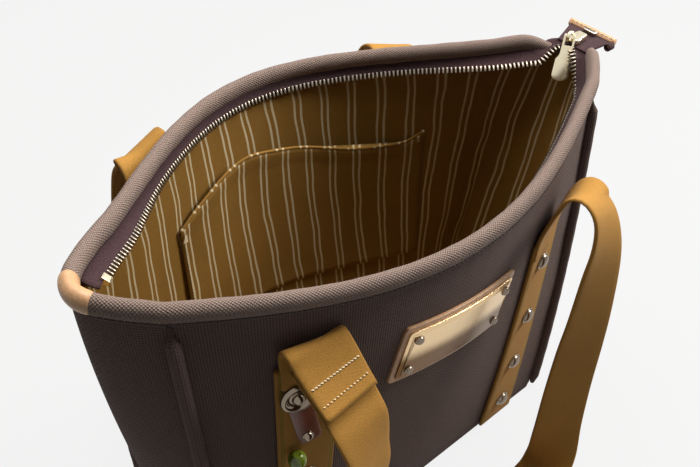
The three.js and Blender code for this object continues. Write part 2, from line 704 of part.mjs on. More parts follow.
function makePlate() {
  const patchSeat = CANVAS_FACE + GAP;
  const plateSeat = patchSeat + PATCH_THICKNESS + GAP;
  const plateFace = plateSeat + PLATE_THICKNESS;
  const patch = plateBox(PATCH_WIDTH, PATCH_HEIGHT, patchSeat, patchSeat + PATCH_THICKNESS);
  add('plate_leather_patch', patch, 'leather');
  const width = PATCH_WIDTH - 2 * PLATE_MARGIN;
  const height = PATCH_HEIGHT - 2 * PLATE_MARGIN;
  add('blank_plate', plateBox(width, height, plateSeat, plateFace), 'brass');
  const spots = [['upper_left', -1, 1], ['upper_right', 1, 1]];
  spots.push(['lower_left', -1, -1], ['lower_right', 1, -1]);
  for (const [name, across, up] of spots) {
    const rivet = add(`plate_rivet_${name}`, domedHead(RIVET_RADIUS, RIVET_HEIGHT, 10), 'steel');
    const { x, z } = platePlace(across * (width / 2 - RIVET_INSET), up * (height / 2 - RIVET_INSET));
    seatOnWall(rivet, FRONT, x, z, plateFace + GAP);
  }
}

// ---- Zip ----
// The tape leaves the roll's inner side and slants in and down to the teeth.
function zipSection(side, curve, fromShare, toShare, inset, drop, halfWidth, thickness, steps) {
  const root = TAPE_ROOT;
  const edge = TAPE_EDGE[side];
  const slope = new THREE.Vector2(edge.inset - root.inset, edge.drop - root.drop).normalize();
  const frame = levelFrame(curve, inset, drop);
  const slanted = (t) => {
    const base = frame(mix(fromShare, toShare, t));
    const across = base.across.clone().multiplyScalar(-slope.x);
    across.z = -slope.y;
    const along = curve.getTangentAt(clamp01(mix(fromShare, toShare, t)));
    across.addScaledVector(along, -across.dot(along)).normalize();
    const face = new THREE.Vector3().crossVectors(along, across).normalize();
    return { point: base.point, across, face };
  };
  return ribbon(slanted, halfWidth, thickness, steps);
}

function makeZip() {
  for (const [name, side] of [['front', FRONT], ['back', BACK]]) {
    const edge = TAPE_EDGE[side];
    const inset = (TAPE_ROOT.inset + edge.inset) / 2;
    const drop = (TAPE_ROOT.drop + edge.drop) / 2;
    const half = Math.hypot(edge.inset - TAPE_ROOT.inset, edge.drop - TAPE_ROOT.drop) / 2;
    const curve = rimCurve(side, TIP_TAB_HALF_LENGTH + 2, TAPE_STOP);
    const tape = zipSection(side, curve, 0.005, 0.985, inset, drop, half, TAPE_THICKNESS, 44);
    add(`${name}_zip_tape`, tape, 'tape');
    const beyond = (GAP + TEETH_WIDTH / 2) / (2 * half);
    const teethInset = edge.inset + (edge.inset - TAPE_ROOT.inset) * beyond;
    const teethDrop = edge.drop + (edge.drop - TAPE_ROOT.drop) * beyond;
    const chain = (from, to, thickness, steps) =>
      zipSection(side, curve, from, to, teethInset, teethDrop, TEETH_WIDTH / 2, thickness, steps);
    const stopShare = (STOP_LENGTH + GAP) / curve.getLength();
    add(`${name}_zip_teeth`, chain(STOP_START + stopShare, 0.975, TEETH_THICKNESS, 44), 'steel');
    add(`${name}_zip_top_stop`, chain(STOP_START, STOP_START + stopShare * 0.94, STOP_THICKNESS, 1), 'brass');
  }
}

function makeTail() {
  const shape = new THREE.Shape();
  shape.moveTo(TAIL_ROOT_X, TAIL_ROOT_Y - TAIL_ROOT_HALF_WIDTH);
  shape.lineTo(TAIL_END_X, TAIL_END_Y - TAIL_END_HALF_WIDTH);
  shape.lineTo(TAIL_END_X, TAIL_END_Y + TAIL_END_HALF_WIDTH);
  shape.lineTo(TAIL_ROOT_X, TAIL_ROOT_Y + TAIL_ROOT_HALF_WIDTH);
  const tail = new THREE.ExtrudeGeometry(shape, { depth: TAIL_THICKNESS, bevelEnabled: false });
  tail.translate(0, 0, TAIL_Z);
  add('zip_tail', tail, 'tape');
  const length = 2 * TAIL_END_HALF_WIDTH + 3;
  const leather = new THREE.CapsuleGeometry(TAIL_LEATHER_HEIGHT / 2, length - TAIL_LEATHER_HEIGHT, 3, 10);
  leather.scale(TAIL_LEATHER_WIDTH / TAIL_LEATHER_HEIGHT, 1, 1);
  const mesh = add('tail_leather', leather, 'leather');
  const x = TAIL_END_X + GAP + TAIL_LEATHER_WIDTH / 2;
  mesh.position.set(x, TAIL_END_Y, TAIL_Z + TAIL_THICKNESS / 2);
}

// The bail is a wire hoop in the plane of travel. It starts on the slider's top and ends on its nose.
const BAIL_X = TAIL_ROOT_X - SLIDER_OVERHANG - BAIL_EDGE;
const SLIDER_TOP = TAIL_Z + TAIL_THICKNESS + GAP + SLIDER_THICKNESS;
const BAIL_Z = SLIDER_TOP + BAIL_EDGE;

function makeSlider() {
  const body = new THREE.BoxGeometry(SLIDER_LENGTH, SLIDER_WIDTH, SLIDER_THICKNESS);
  body.translate(BAIL_EDGE + SLIDER_LENGTH / 2, 0, -BAIL_EDGE - SLIDER_THICKNESS / 2);
  const from = THREE.MathUtils.degToRad(-35);
  const to = THREE.MathUtils.degToRad(305);
  const frame = (t) => {
    const angle = mix(from, to, t);
    const face = new THREE.Vector3(Math.cos(angle), 0, Math.sin(angle));
    return { point: face.clone().multiplyScalar(BAIL_RADIUS), across: new THREE.Vector3(0, 1, 0), face };
  };
  const slider = add('zip_slider', join([body, rod(frame, BAIL_WIRE, BAIL_WIRE, 8, 16)]), 'brass');
  slider.position.set(BAIL_X, SLIDER_Y, BAIL_Z);
}

function makePull() {
  const bladeStart = PULL_NECK_LENGTH + 2;
  const neck = PULL_NECK_WIDTH / 2;
  const blade = PULL_BLADE_WIDTH / 2;
  const shape = new THREE.Shape();
  shape.moveTo(-neck, PULL_BAR);
  shape.lineTo(-neck, -PULL_NECK_LENGTH);
  shape.lineTo(-blade, -bladeStart);
  shape.lineTo(-blade, -PULL_LENGTH + 3);
  shape.quadraticCurveTo(-blade, -PULL_LENGTH, 0, -PULL_LENGTH);
  shape.quadraticCurveTo(blade, -PULL_LENGTH, blade, -PULL_LENGTH + 3);
  shape.lineTo(blade, -bladeStart);
  shape.lineTo(neck, -PULL_NECK_LENGTH);
  shape.lineTo(neck, PULL_BAR);
  const eye = new THREE.Path();
  const half = PULL_EYE_WIDTH / 2;
  eye.moveTo(-half, -PULL_BAR);
  eye.lineTo(half, -PULL_BAR);
  eye.lineTo(half, -PULL_BAR - PULL_EYE_LENGTH);
  eye.lineTo(-half, -PULL_BAR - PULL_EYE_LENGTH);
  shape.holes.push(eye);
  const options = { depth: PULL_THICKNESS, bevelEnabled: false, curveSegments: 6 };
  const plate = new THREE.ExtrudeGeometry(shape, options);
  plate.translate(0, 0, -PULL_THICKNESS / 2);
  plate.rotateX(Math.PI / 2);
  plate.rotateZ(Math.PI / 2);
  const pull = add('zip_pull', plate, 'brass');
  pull.position.set(BAIL_X, SLIDER_Y, BAIL_Z);
  pull.rotation.y = THREE.MathUtils.degToRad(PULL_LEAN);
}

function makeRetainer() {
  const box = new THREE.BoxGeometry(RETAINER_LENGTH, RETAINER_WIDTH, RETAINER_HEIGHT);
  const retainer = add('zip_retainer', box, 'steel');
  const x = TAIL_END_X - 0.5 - RETAINER_LENGTH / 2;
  retainer.position.set(x, SLIDER_Y, TAIL_Z + TAIL_THICKNESS + GAP + RETAINER_HEIGHT / 2);
}

// The ring's straight bar runs along X through a small loop at the tail's front edge.
function makeRing() {
  const share = (RING_X - TAIL_ROOT_X) / (TAIL_END_X - TAIL_ROOT_X);
  const halfWidth = mix(TAIL_ROOT_HALF_WIDTH, TAIL_END_HALF_WIDTH, share);
  const edge = mix(TAIL_ROOT_Y, TAIL_END_Y, share) - halfWidth;
  const y = edge - RING_TAB_RADIUS - GAP;
  const z = TAIL_Z + TAIL_THICKNESS / 2;
  const outline = new THREE.Shape().absarc(0, 0, RING_TAB_RADIUS, 0, 2 * Math.PI);
  outline.holes.push(new THREE.Path().absarc(0, 0, RING_WIRE + RING_PLAY, 0, 2 * Math.PI));
  const options = { depth: RING_TAB_LENGTH, bevelEnabled: false, curveSegments: 10 };
  const tube = new THREE.ExtrudeGeometry(outline, options);
  tube.translate(0, 0, -RING_TAB_LENGTH / 2);
  tube.rotateY(Math.PI / 2);
  const tab = add('ring_tab', tube, 'tape');
  tab.position.set(RING_X, y, z);
  const points = [-4.5, -2.2, 0, 2.2, 4.5].map((x) => new THREE.Vector3(x, 0, 0));
  for (let i = 0; i <= 6; i += 1) {
    const angle = mix(0.12, -Math.PI - 0.12, i / 6);
    const x = RING_HALF_WIDTH * Math.cos(angle);
    points.push(new THREE.Vector3(x, 0, -2.4 + (RING_DROP - 2.4) * Math.sin(angle)));
  }
  const bow = new THREE.CatmullRomCurve3(points, true);
  const tubeRing = new THREE.TubeGeometry(bow, 40, RING_WIRE, 8, true);
  const ring = add('d_ring', bend(tubeRing, (corner) => corner.clone()), 'steel');
  ring.position.set(RING_X, y, z);
}

// A domed snap head holds a narrow leather tab with a bead at its end.
function makeCharm() {
  const charm = new THREE.Group();
  seatOnWall(charm, FRONT, CHARM_X, CHARM_Z, STRIP_FACE + CHARM_STANDOFF);
  root.add(charm);
  const half = CHARM_TAB_WIDTH / 2;
  const shape = new THREE.Shape();
  shape.absarc(0, 0, half, 0, Math.PI);
  shape.lineTo(-half, -CHARM_TAB_LENGTH + 4);
  shape.lineTo(-half + 3, -CHARM_TAB_LENGTH);
  shape.lineTo(half - 3, -CHARM_TAB_LENGTH);
  shape.lineTo(half, -CHARM_TAB_LENGTH + 4);
  const options = { depth: CHARM_TAB_THICKNESS, bevelEnabled: false, curveSegments: 8 };
  const tab = new THREE.ExtrudeGeometry(shape, options);
  add('charm_tab', tab, 'darkLeather', charm);
  const rim = CHARM_HEAD_RADIUS;
  const profile = [[0, 0], [rim, 0], [rim + 0.5, 1.5], [rim - 1, 3], [rim - 3, 3.2], [5.4, 1.6]];
  profile.push([4.6, 3.4], [2.8, CHARM_HEAD_HEIGHT], [0, CHARM_HEAD_HEIGHT + 0.4]);
  const head = new THREE.LatheGeometry(profile.map(([r, h]) => new THREE.Vector2(r, h)), 20);
  head.rotateX(Math.PI / 2);
  add('charm_head', head, 'steel', charm).position.z = CHARM_TAB_THICKNESS + GAP;
  const bead = add('charm_bead', new THREE.SphereGeometry(CHARM_BEAD_RADIUS, 14, 10), 'bead', charm);
  const drop = CHARM_TAB_LENGTH + GAP + CHARM_BEAD_RADIUS;
  bead.position.set(0, -drop, CHARM_BEAD_RADIUS - CHARM_STANDOFF / 2);
}

makeShell();
makeBase();
makePipings();
makeRim();
makeLining();
makePocket();
makeStrips();
makeHandles();
makePlate();
makeZip();
makeTail();
makeSlider();
makePull();
makeRetainer();
makeRing();
makeCharm();

export default root;
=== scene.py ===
import math

import bmesh
import bpy
import numpy as np
from bpy.props import FloatProperty, FloatVectorProperty, PointerProperty
from bpy.types import Operator, Panel, PropertyGroup
from mathutils import Matrix, Vector


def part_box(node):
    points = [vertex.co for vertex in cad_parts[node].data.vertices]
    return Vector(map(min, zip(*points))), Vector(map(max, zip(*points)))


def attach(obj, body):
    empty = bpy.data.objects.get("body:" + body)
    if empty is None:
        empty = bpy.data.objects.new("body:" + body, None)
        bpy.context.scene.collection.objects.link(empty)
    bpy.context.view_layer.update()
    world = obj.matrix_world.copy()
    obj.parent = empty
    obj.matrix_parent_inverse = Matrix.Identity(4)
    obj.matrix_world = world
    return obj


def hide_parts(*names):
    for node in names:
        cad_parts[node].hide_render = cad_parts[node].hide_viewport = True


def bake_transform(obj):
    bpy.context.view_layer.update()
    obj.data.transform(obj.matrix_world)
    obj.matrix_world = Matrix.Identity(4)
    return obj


bl_info = {
    "name": "Canvas shoulder bag",
    "version": (1, 0, 0),
    "blender": (4, 2, 0),
    "location": "3D View > Sidebar > Bag",
    "description": "Builds a zip-top canvas shoulder bag with webbing handles",
    "category": "Object",
}

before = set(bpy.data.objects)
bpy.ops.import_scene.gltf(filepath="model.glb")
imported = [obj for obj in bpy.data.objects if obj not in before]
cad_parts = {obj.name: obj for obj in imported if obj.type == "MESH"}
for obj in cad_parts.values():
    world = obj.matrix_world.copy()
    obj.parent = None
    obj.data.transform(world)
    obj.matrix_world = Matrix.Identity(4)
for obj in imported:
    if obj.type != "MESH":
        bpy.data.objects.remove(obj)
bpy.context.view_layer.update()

MM = 0.001
FRONT, BACK, LEFT, RIGHT = -1, 1, -1, 1

# ---- The body's shape, in millimetres; it follows the solids' own formulas ----
HALF_LENGTH = 163.0
BASE_DEPTH = 63.0
RIM_MIDDLE = 263.3
RIM_RISE = 21.5
TIP_REACH = 29.0
TIP_X = HALF_LENGTH + TIP_REACH
BULGE = {FRONT: 78.5, BACK: 124.0}
CORNER = {FRONT: 31.5, BACK: 34.0}
BULGE_POWER = {FRONT: 1.0, BACK: 1.1}
FOOT_NARROWING = 0.085
FOOT_PULL = 8.0
TAIL_Z = RIM_MIDDLE + RIM_RISE - 2.8
STRAP_X = 101.0
STRAP_THICK = 2.6
PLATE_X = 3.0
PLATE_Z = 191.0
PLATE_TILT = math.radians(-9)


def mm(*values):
    """A length or a point given in millimetres, in metres."""
    if len(values) == 1:
        return values[0] * MM
    return Vector(values) * MM


def mix(a, b, share):
    return a + (b - a) * share


def smooth(value):
    value = min(1.0, max(0.0, value))
    return value * value * (3 - 2 * value)


def rim_height(x):
    return RIM_MIDDLE + RIM_RISE * (x / TIP_X) ** 2


def half_length(v):
    """Half the body's length; the soft ends lean in towards the foot."""
    return HALF_LENGTH * (1 - FOOT_NARROWING * max(0.0, 1 - v) ** 1.6)


def foot_pull(v):
    """How far the soft walls draw in towards the foot."""
    return FOOT_PULL * max(0.0, 1 - v) ** 3


def corner_depth(side, v):
    return mix(BASE_DEPTH, CORNER[side], v) - foot_pull(v)


def wall_point(side, s, v):
    """A point of the front or back wall; s goes from the left piping to the right one."""
    x = s * half_length(v)
    profile = max(0.0, math.cos(s * math.pi / 2)) ** BULGE_POWER[side]
    depth = mix(corner_depth(side, v), mix(BASE_DEPTH, BULGE[side], v) - foot_pull(v), profile)
    return Vector((x, side * depth, v * rim_height(x)))


def gusset_point(end, s, v):
    """A point of a gusset; s goes from the front piping to the back one."""
    rise = max(v, 0.0) ** 2 if end == RIGHT else 1 - max(1 - v, 0.0) ** 1.5
    soft = (math.hypot(s, 0.6) - 0.6) / (math.hypot(1, 0.6) - 0.6)
    x = end * (half_length(v) + TIP_REACH * rise * (1 - soft))
    y = s * corner_depth(FRONT if s < 0 else BACK, v)
    return Vector((x, y, v * rim_height(x)))


def offset(surface, which, s, v, d):
    """A point d outside a wall or gusset."""
    h = 1e-3
    along = surface(which, s + h, v) - surface(which, s - h, v)
    up = surface(which, s, v + h) - surface(which, s, max(v - h, 0))
    normal = along.cross(up).normalized()
    out = Vector((0, which, 0)) if surface is wall_point else Vector((which, 0, 0))
    if normal.dot(out) < 0:
        normal = -normal
    return surface(which, s, v) + normal * d


def on_wall(side, x, z, d):
    """A point d outside the front or back wall at a place along it."""
    v = z / rim_height(x)
    return offset(wall_point, side, x / half_length(v), v, d)


# ---- Materials ----
class Socket:
    """A shader socket that takes part in Python sums."""

    def __init__(self, tree, link):
        self.tree = tree
        self.link = link

    def maths(self, operation, *others):
        values = [self, *others]
        return self.tree.node("ShaderNodeMath", {"operation": operation}, dict(enumerate(values)))

    def __add__(self, other):
        return self.maths("ADD", other)

    __radd__ = __add__

    def __mul__(self, other):
        return self.maths("MULTIPLY", other)

    __rmul__ = __mul__

    def __sub__(self, other):
        return self.maths("SUBTRACT", other)

    def __rsub__(self, other):
        return self.tree.node("ShaderNodeMath", {"operation": "SUBTRACT"}, {0: other, 1: self})

    def __truediv__(self, other):
        return self.maths("DIVIDE", other)

    def sine(self):
        return self.maths("SINE")

    def size(self):
        return self.maths("ABSOLUTE")

    def wrap(self):
        return self.maths("FRACT")

    def over(self, level):
        return self.maths("GREATER_THAN", level)

    def under(self, level):
        return self.maths("LESS_THAN", level)

    def ease(self, low, high):
        """0 below low, 1 above high, with a soft step between."""
        settings = {"interpolation_type": "SMOOTHSTEP"}
        inputs = {"Value": self, "From Min": low, "From Max": high}
        return self.tree.node("ShaderNodeMapRange", settings, inputs)


class Finish:
    """A procedural material being written."""

    def __init__(self, name, colour, roughness, metallic=0.0, **constants):
        self.material = bpy.data.materials.new(name)
        self.material.use_nodes = True
        self.nodes = self.material.node_tree.nodes
        self.links = self.material.node_tree.links
        self.shader = self.nodes["Principled BSDF"]
        self.shader.inputs["Base Color"].default_value = (*colour, 1)
        self.shader.inputs["Roughness"].default_value = roughness
        self.shader.inputs["Metallic"].default_value = metallic
        for key, value in constants.items():
            self.shader.inputs[key.replace("_", " ").title()].default_value = value
        self.material.diffuse_color = (*colour, 1)

    def node(self, kind, settings, values, output=0):
        made = self.nodes.new(kind)
        for key, value in settings.items():
            setattr(made, key, value)
        for key, value in values.items():
            target = made.inputs[key]
            if isinstance(value, Socket):
                self.links.new(value.link, target)
            else:
                target.default_value = value
        return Socket(self, made.outputs[output])

    def uv(self):
        place = self.node("ShaderNodeUVMap", {"uv_map": "Cloth"}, {})
        u = self.node("ShaderNodeSeparateXYZ", {}, {0: place}, 0)
        v = self.node("ShaderNodeSeparateXYZ", {}, {0: place}, 1)
        return u, v

    def here(self):
        return self.node("ShaderNodeTexCoord", {}, {}, 3)

    def noise(self, place, scale, detail=3.0, roughness=0.55):
        values = {"Vector": place, "Scale": scale, "Detail": detail, "Roughness": roughness}
        return self.node("ShaderNodeTexNoise", {}, values, 0)

    def blend(self, share, a, b):
        """A colour between a and b; either may be a triple or a socket."""
        values = {"Factor": share}
        values[6] = a if isinstance(a, Socket) else (*a, 1)
        values[7] = b if isinstance(b, Socket) else (*b, 1)
        return self.node("ShaderNodeMix", {"data_type": "RGBA"}, values, 2)

    def colour(self, socket):
        self.links.new(socket.link, self.shader.inputs["Base Color"])

    def rough(self, socket):
        self.links.new(socket.link, self.shader.inputs["Roughness"])

    def bump(self, height, distance, strength=1.0):
        values = {"Height": height, "Distance": distance, "Strength": strength}
        made = self.node("ShaderNodeBump", {}, values)
        self.links.new(made.link, self.shader.inputs["Normal"])


def scaled(colour, factor):
    return tuple(min(1.0, c * factor) for c in colour)


def weave(u, v, cell):
    """The relief of a basket weave: threads that go over and under by turns."""
    a = u * (math.pi / cell)
    b = v * (math.pi / cell)
    turn = (a.sine() * b.sine()).ease(-0.12, 0.12)
    across = b.sine().size() * (0.55 + 0.45 * a.sine().size())
    along = a.sine().size() * (0.55 + 0.45 * b.sine().size())
    return along * turn + across * (1 - turn)


def canvas_finish(name, colour, cell, slanted):
    finish = Finish(name, colour, 0.85, sheen_weight=0.06, sheen_roughness=0.5)
    finish.shader.inputs["Specular IOR Level"].default_value = 0.2
    u, v = finish.uv()
    relief = weave(u + v * 0.8, u * 0.8 - v, cell) if slanted else weave(u, v, cell)
    fuzz = finish.noise(finish.here(), 900.0, 3.0)
    broad = finish.noise(finish.here(), 14.0, 4.0)
    tone = relief * 0.72 + fuzz * 0.35
    threads = finish.blend(tone.ease(0.05, 0.95), scaled(colour, 0.42), scaled(colour, 1.45))
    finish.colour(finish.blend(broad.ease(0.35, 0.75) * 0.3, threads, scaled(colour, 1.25)))
    finish.bump(relief + fuzz * 0.25, 0.00042)
    return finish.material


def lining_finish(colour, stripe):
    finish = Finish("Striped cotton", colour, 0.8)
    finish.shader.inputs["Specular IOR Level"].default_value = 0.25
    u, _ = finish.uv()
    pitch, pair = 0.0198, 0.0047
    drift = finish.noise(finish.here(), 11.0, 1.0) + 0.35 * finish.noise(finish.here(), 34.0, 1.0)
    phase = ((u + 0.011 * drift) / pitch).wrap() * pitch
    first = 1 - (phase - 0.006).size().ease(0.0006, 0.00105)
    second = 1 - (phase - 0.006 - pair).size().ease(0.0006, 0.00105)
    fine = finish.noise(finish.here(), 1500.0, 2.0)
    broad = finish.noise(finish.here(), 22.0, 3.0)
    cloth = finish.blend(fine.ease(0.3, 0.7), scaled(colour, 0.82), scaled(colour, 1.16))
    cloth = finish.blend(broad.ease(0.35, 0.7) * 0.35, cloth, scaled(colour, 0.72))
    slub = finish.noise(finish.here(), 260.0, 2.0).ease(0.0, 0.4)
    finish.colour(finish.blend((first + second) * slub, cloth, stripe))
    finish.bump(fine + (first + second) * 0.4, 0.00012)
    return finish.material


def webbing_finish(colour, thread, with_edge_stitch):
    name = "Stitched webbing" if with_edge_stitch else "Webbing"
    finish = Finish(name, colour, 0.85, sheen_weight=0.05, sheen_roughness=0.4)
    finish.shader.inputs["Specular IOR Level"].default_value = 0.25
    u, v = finish.uv()
    ribs = (u * (2 * math.pi / 0.0009)).sine() * (v * (2 * math.pi / 0.0011)).sine()
    fuzz = finish.noise(finish.here(), 2200.0, 2.0)
    broad = finish.noise(finish.here(), 35.0, 3.0)
    edge = v.size().ease(0.0145, 0.018)
    tone = ribs * 0.1 + fuzz * 0.95
    cloth = finish.blend(tone.ease(0.2, 0.75), scaled(colour, 0.72), scaled(colour, 1.25))
    cloth = finish.blend(broad.ease(0.4, 0.7) * 0.25, cloth, scaled(colour, 0.8))
    cloth = finish.blend(edge * 0.35, cloth, scaled(colour, 0.7))
    height = ribs * 0.22 + fuzz * 0.8
    if with_edge_stitch:
        line = 1 - (v.size() - 0.0152).size().ease(0.00035, 0.0006)
        dash = (u / 0.0032).wrap().under(0.72)
        groove = 1 - (v.size() - 0.0152).size().ease(0.0006, 0.0014)
        # Painted shade: the cloth is darkened in the groove beside the edge stitches, where the bump also sinks
        # it.
        cloth = finish.blend(groove * 0.5, cloth, scaled(colour, 0.45))
        cloth = finish.blend(line * dash, cloth, thread)
        height = height + line * dash * 1.6 - groove
    finish.colour(cloth)
    finish.bump(height, 0.00016)
    return finish.material


def leather_finish(name, colour, roughness, worn):
    finish = Finish(name, colour, roughness, coat_weight=0.15, coat_roughness=0.3)
    grain = finish.node("ShaderNodeTexVoronoi", {}, {"Vector": finish.here(), "Scale": 900.0})
    pores = finish.noise(finish.here(), 500.0, 3.0)
    broad = finish.noise(finish.here(), 60.0, 3.0)
    skin = finish.blend(pores.ease(0.3, 0.7), scaled(colour, 0.88), scaled(colour, 1.1))
    finish.colour(finish.blend(broad.ease(0.4, 0.7) * 0.5, skin, worn))
    finish.rough(0.9 * roughness + broad * 0.15)
    finish.bump(grain * 0.6 + pores * 0.5, 0.00012)
    return finish.material


def plate_finish(colour):
    """Brass with painted reflection shade: its colour goes dark towards the lower edge of the plate."""
    finish = Finish("Plate brass", colour, 0.2, 1.0)
    x = finish.node("ShaderNodeSeparateXYZ", {}, {0: finish.here()}, 0)
    z = finish.node("ShaderNodeSeparateXYZ", {}, {0: finish.here()}, 2)
    smears = finish.noise(finish.here(), 60.0, 3.0)
    height = z + x * 0.158 - (PLATE_Z * MM + 0.001) + smears * 0.006
    # Painted reflection shade: below this height on the tilted plate the colour turns dark brown, standing in
    # for the dark surroundings that the lower half reflects.
    finish.colour(finish.blend(height.ease(-0.004, 0.008), (0.16, 0.075, 0.018), colour))
    finish.rough(0.14 + smears * 0.12)
    finish.bump(finish.noise(finish.here(), 700.0, 4.0), 0.00001)
    return finish.material


def metal_finish(name, colour, roughness, tarnish):
    finish = Finish(name, colour, roughness, 1.0)
    scratches = finish.noise(finish.here(), 700.0, 4.0)
    smears = finish.noise(finish.here(), 90.0, 3.0)
    finish.colour(finish.blend(smears.ease(0.45, 0.75) * tarnish, colour, scaled(colour, 0.62)))
    finish.rough(roughness + smears * 0.12)
    finish.bump(scratches, 0.00001)
    return finish.material


def tape_finish(colour):
    finish = Finish("Zip tape", colour, 0.85, sheen_weight=0.05)
    finish.shader.inputs["Specular IOR Level"].default_value = 0.2
    u, v = finish.uv()
    ribs = (u * (2 * math.pi / 0.0012)).sine() * (v * (2 * math.pi / 0.0009)).sine()
    fuzz = finish.noise(finish.here(), 1200.0, 3.0)
    tone = ribs * 0.3 + fuzz
    finish.colour(finish.blend(tone.ease(0.25, 0.8), scaled(colour, 0.6), scaled(colour, 1.5)))
    finish.bump(ribs * 0.5 + fuzz * 0.6, 0.0002)
    return finish.material


def plain_finish(name, colour, roughness, grain=300.0):
    finish = Finish(name, colour, roughness)
    mottle = finish.noise(finish.here(), grain, 3.0)
    finish.colour(finish.blend(mottle.ease(0.3, 0.7), scaled(colour, 0.8), scaled(colour, 1.15)))
    finish.rough(roughness * 0.8 + mottle * roughness * 0.4)
    finish.bump(mottle, 0.00008)
    return finish.material


# ---- Mesh helpers ----
def loft(name, rings, us, vs, caps="flat", swap=False):
    """A closed body through rings of points. us and vs are the cloth sizes round and along it."""
    mesh = bpy.data.meshes.new(name)
    bm = bmesh.new()
    layer = bm.loops.layers.uv.new("Cloth")
    count = len(rings[0])
    rows = [[bm.verts.new(Vector(p) * MM) for p in ring] for ring in rings]

    def face(corners):
        made = bm.faces.new([rows[j][i % count] for j, i in corners])
        made.smooth = True
        for loop, (j, i) in zip(made.loops, corners):
            place = (vs[j], us[i]) if swap else (us[i], vs[j])
            loop[layer].uv = (place[0] * MM, place[1] * MM)

    for j in range(len(rows) - 1):
        for i in range(count):
            face([(j, i), (j, i + 1), (j + 1, i + 1), (j + 1, i)])
    if caps == "flat":
        face([(0, i) for i in range(count)])
        face([(len(rows) - 1, i) for i in range(count)])
    else:
        bmesh.ops.remove_doubles(bm, verts=rows[0] + rows[-1], dist=1e-7)
    bmesh.ops.recalc_face_normals(bm, faces=bm.faces)
    bm.to_mesh(mesh)
    bm.free()
    obj = bpy.data.objects.new(name, mesh)
    bpy.context.scene.collection.objects.link(obj)
    return obj


def resample(points, step):
    """Evenly spaced points of a smooth curve through the given ones."""
    points = [np.array(p, float) for p in points]
    ends = [2 * points[0] - points[1], *points, 2 * points[-1] - points[-2]]
    dense = []
    for k in range(1, len(ends) - 2):
        p0, p1, p2, p3 = ends[k - 1 : k + 3]
        for t in np.linspace(0, 1, 24, endpoint=False):
            a = 2 * p1 + (p2 - p0) * t + (2 * p0 - 5 * p1 + 4 * p2 - p3) * t * t
            dense.append((a + (3 * p1 - p0 - 3 * p2 + p3) * t**3) / 2)
    dense.append(points[-1])
    dense = np.array(dense)
    run = np.concatenate([[0], np.cumsum(np.linalg.norm(np.diff(dense, axis=0), axis=1))])
    count = max(2, int(round(run[-1] / step)) + 1)
    marks = np.linspace(0, run[-1], count)
    return marks, np.stack([np.interp(marks, run, dense[:, k]) for k in range(dense.shape[1])], 1)


def band_section(half, thick, columns=10):
    """A webbing's section: across and through it, round its soft edges."""
    r = thick / 2
    top = [(mix(-half + r, half - r, i / columns), r) for i in range(columns + 1)]
    turn = [(half - r + r * math.cos(a), r * math.sin(a)) for a in (0.9, 0.0, -0.9)]
    under = [(x, -r) for x, _ in reversed(top)]
    back = [(-x, y) for x, y in reversed(turn)]
    return top + turn + under + back


def band(name, path, acrosses, half, thick, columns=10):
    """Webbing along path points, with its width turned towards acrosses."""
    marks, frames = band_frames(path, acrosses)
    section = band_section(half, thick, columns)
    rings = [[point + across * a + face * b for a, b in section] for point, across, face in frames]
    us = [a for a, _ in section] + [section[0][0]]
    return loft(name, rings, us, marks, swap=True)


def band_frames(path, acrosses):
    """Places along a webbing: how far along, and the point, the way across and the way out there."""
    _, keyed = resample([[*p, *a] for p, a in zip(path, acrosses)], 2.6)
    frames = []
    for k, row in enumerate(keyed):
        point = Vector(row[:3])
        ahead = Vector(keyed[min(k + 1, len(keyed) - 1)][:3]) - Vector(keyed[max(k - 1, 0)][:3])
        ahead.normalize()
        across = Vector(row[3:6])
        across = (across - ahead * across.dot(ahead)).normalized()
        face = ahead.cross(across).normalized()
        frames.append((point, across, face))
    return arc_lengths(keyed[:, :3]), frames


def arc_lengths(points):
    steps = np.linalg.norm(np.diff(np.array(points, float), axis=0), axis=1)
    return [0.0, *np.cumsum(steps)]


def tube(name, path, acrosses, half_across, half_face, sides=20, taper=None):
    """A soft rod along path points, oval where the two halves differ."""
    marks = arc_lengths(path)
    rings = []
    for k, point in enumerate(path):
        ahead = (Vector(path[min(k + 1, len(path) - 1)]) - Vector(path[max(k - 1, 0)])).normalized()
        across = Vector(acrosses[k])
        across = (across - ahead * across.dot(ahead)).normalized()
        face = ahead.cross(across).normalized()
        size = 1.0 if taper is None else taper(k / (len(path) - 1))
        ring = []
        for i in range(sides):
            angle = 2 * math.pi * i / sides
            step = across * (half_across * math.cos(angle)) + face * (half_face * math.sin(angle))
            ring.append(Vector(point) + step * size)
        rings.append(ring)
    girth = math.pi * (half_across + half_face)
    us = [girth * i / sides for i in range(sides + 1)]
    return loft(name, rings, us, marks, swap=True)


def settle(obj, body, slot, material, *nodes):
    """Gives a finished piece its material and its body, and hides the nodes that it stands for; the slot is not
    used.
    """
    obj.data.materials.clear()
    obj.data.materials.append(material)
    if nodes:
        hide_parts(*nodes)
    if body:
        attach(obj, body)
    return obj


def deselect():
    if bpy.context.object and bpy.context.object.mode != "OBJECT":
        bpy.ops.object.mode_set(mode="OBJECT")
    bpy.ops.object.select_all(action="DESELECT")


def place(obj, matrix):
    """Puts a piece modelled at the origin, in millimetres, where it belongs."""
    obj.data.transform(obj.matrix_world)
    obj.matrix_world = Matrix.Identity(4)
    obj.data.transform(Matrix.Scale(MM, 4) @ matrix)
    obj.data.update()
    return obj


def twin(obj, name, matrix):
    """A copy of a piece modelled at the origin, with its own mesh, put in place."""
    copy = obj.copy()
    copy.data = obj.data.copy()
    copy.name = name
    bpy.context.scene.collection.objects.link(copy)
    return place(copy, matrix)


def wall_frame(side, x, z, d):
    """The place of something that stands on a wall: its own Z outwards and its own Y up."""
    seat = on_wall(side, x, z, d)
    normal = (on_wall(side, x, z, d + 1) - seat).normalized()
    across = Vector((0, 0, 1)).cross(normal).normalized()
    up = normal.cross(across)
    turn = Matrix((across, up, normal)).transposed().to_4x4()
    return Matrix.Translation(seat) @ turn


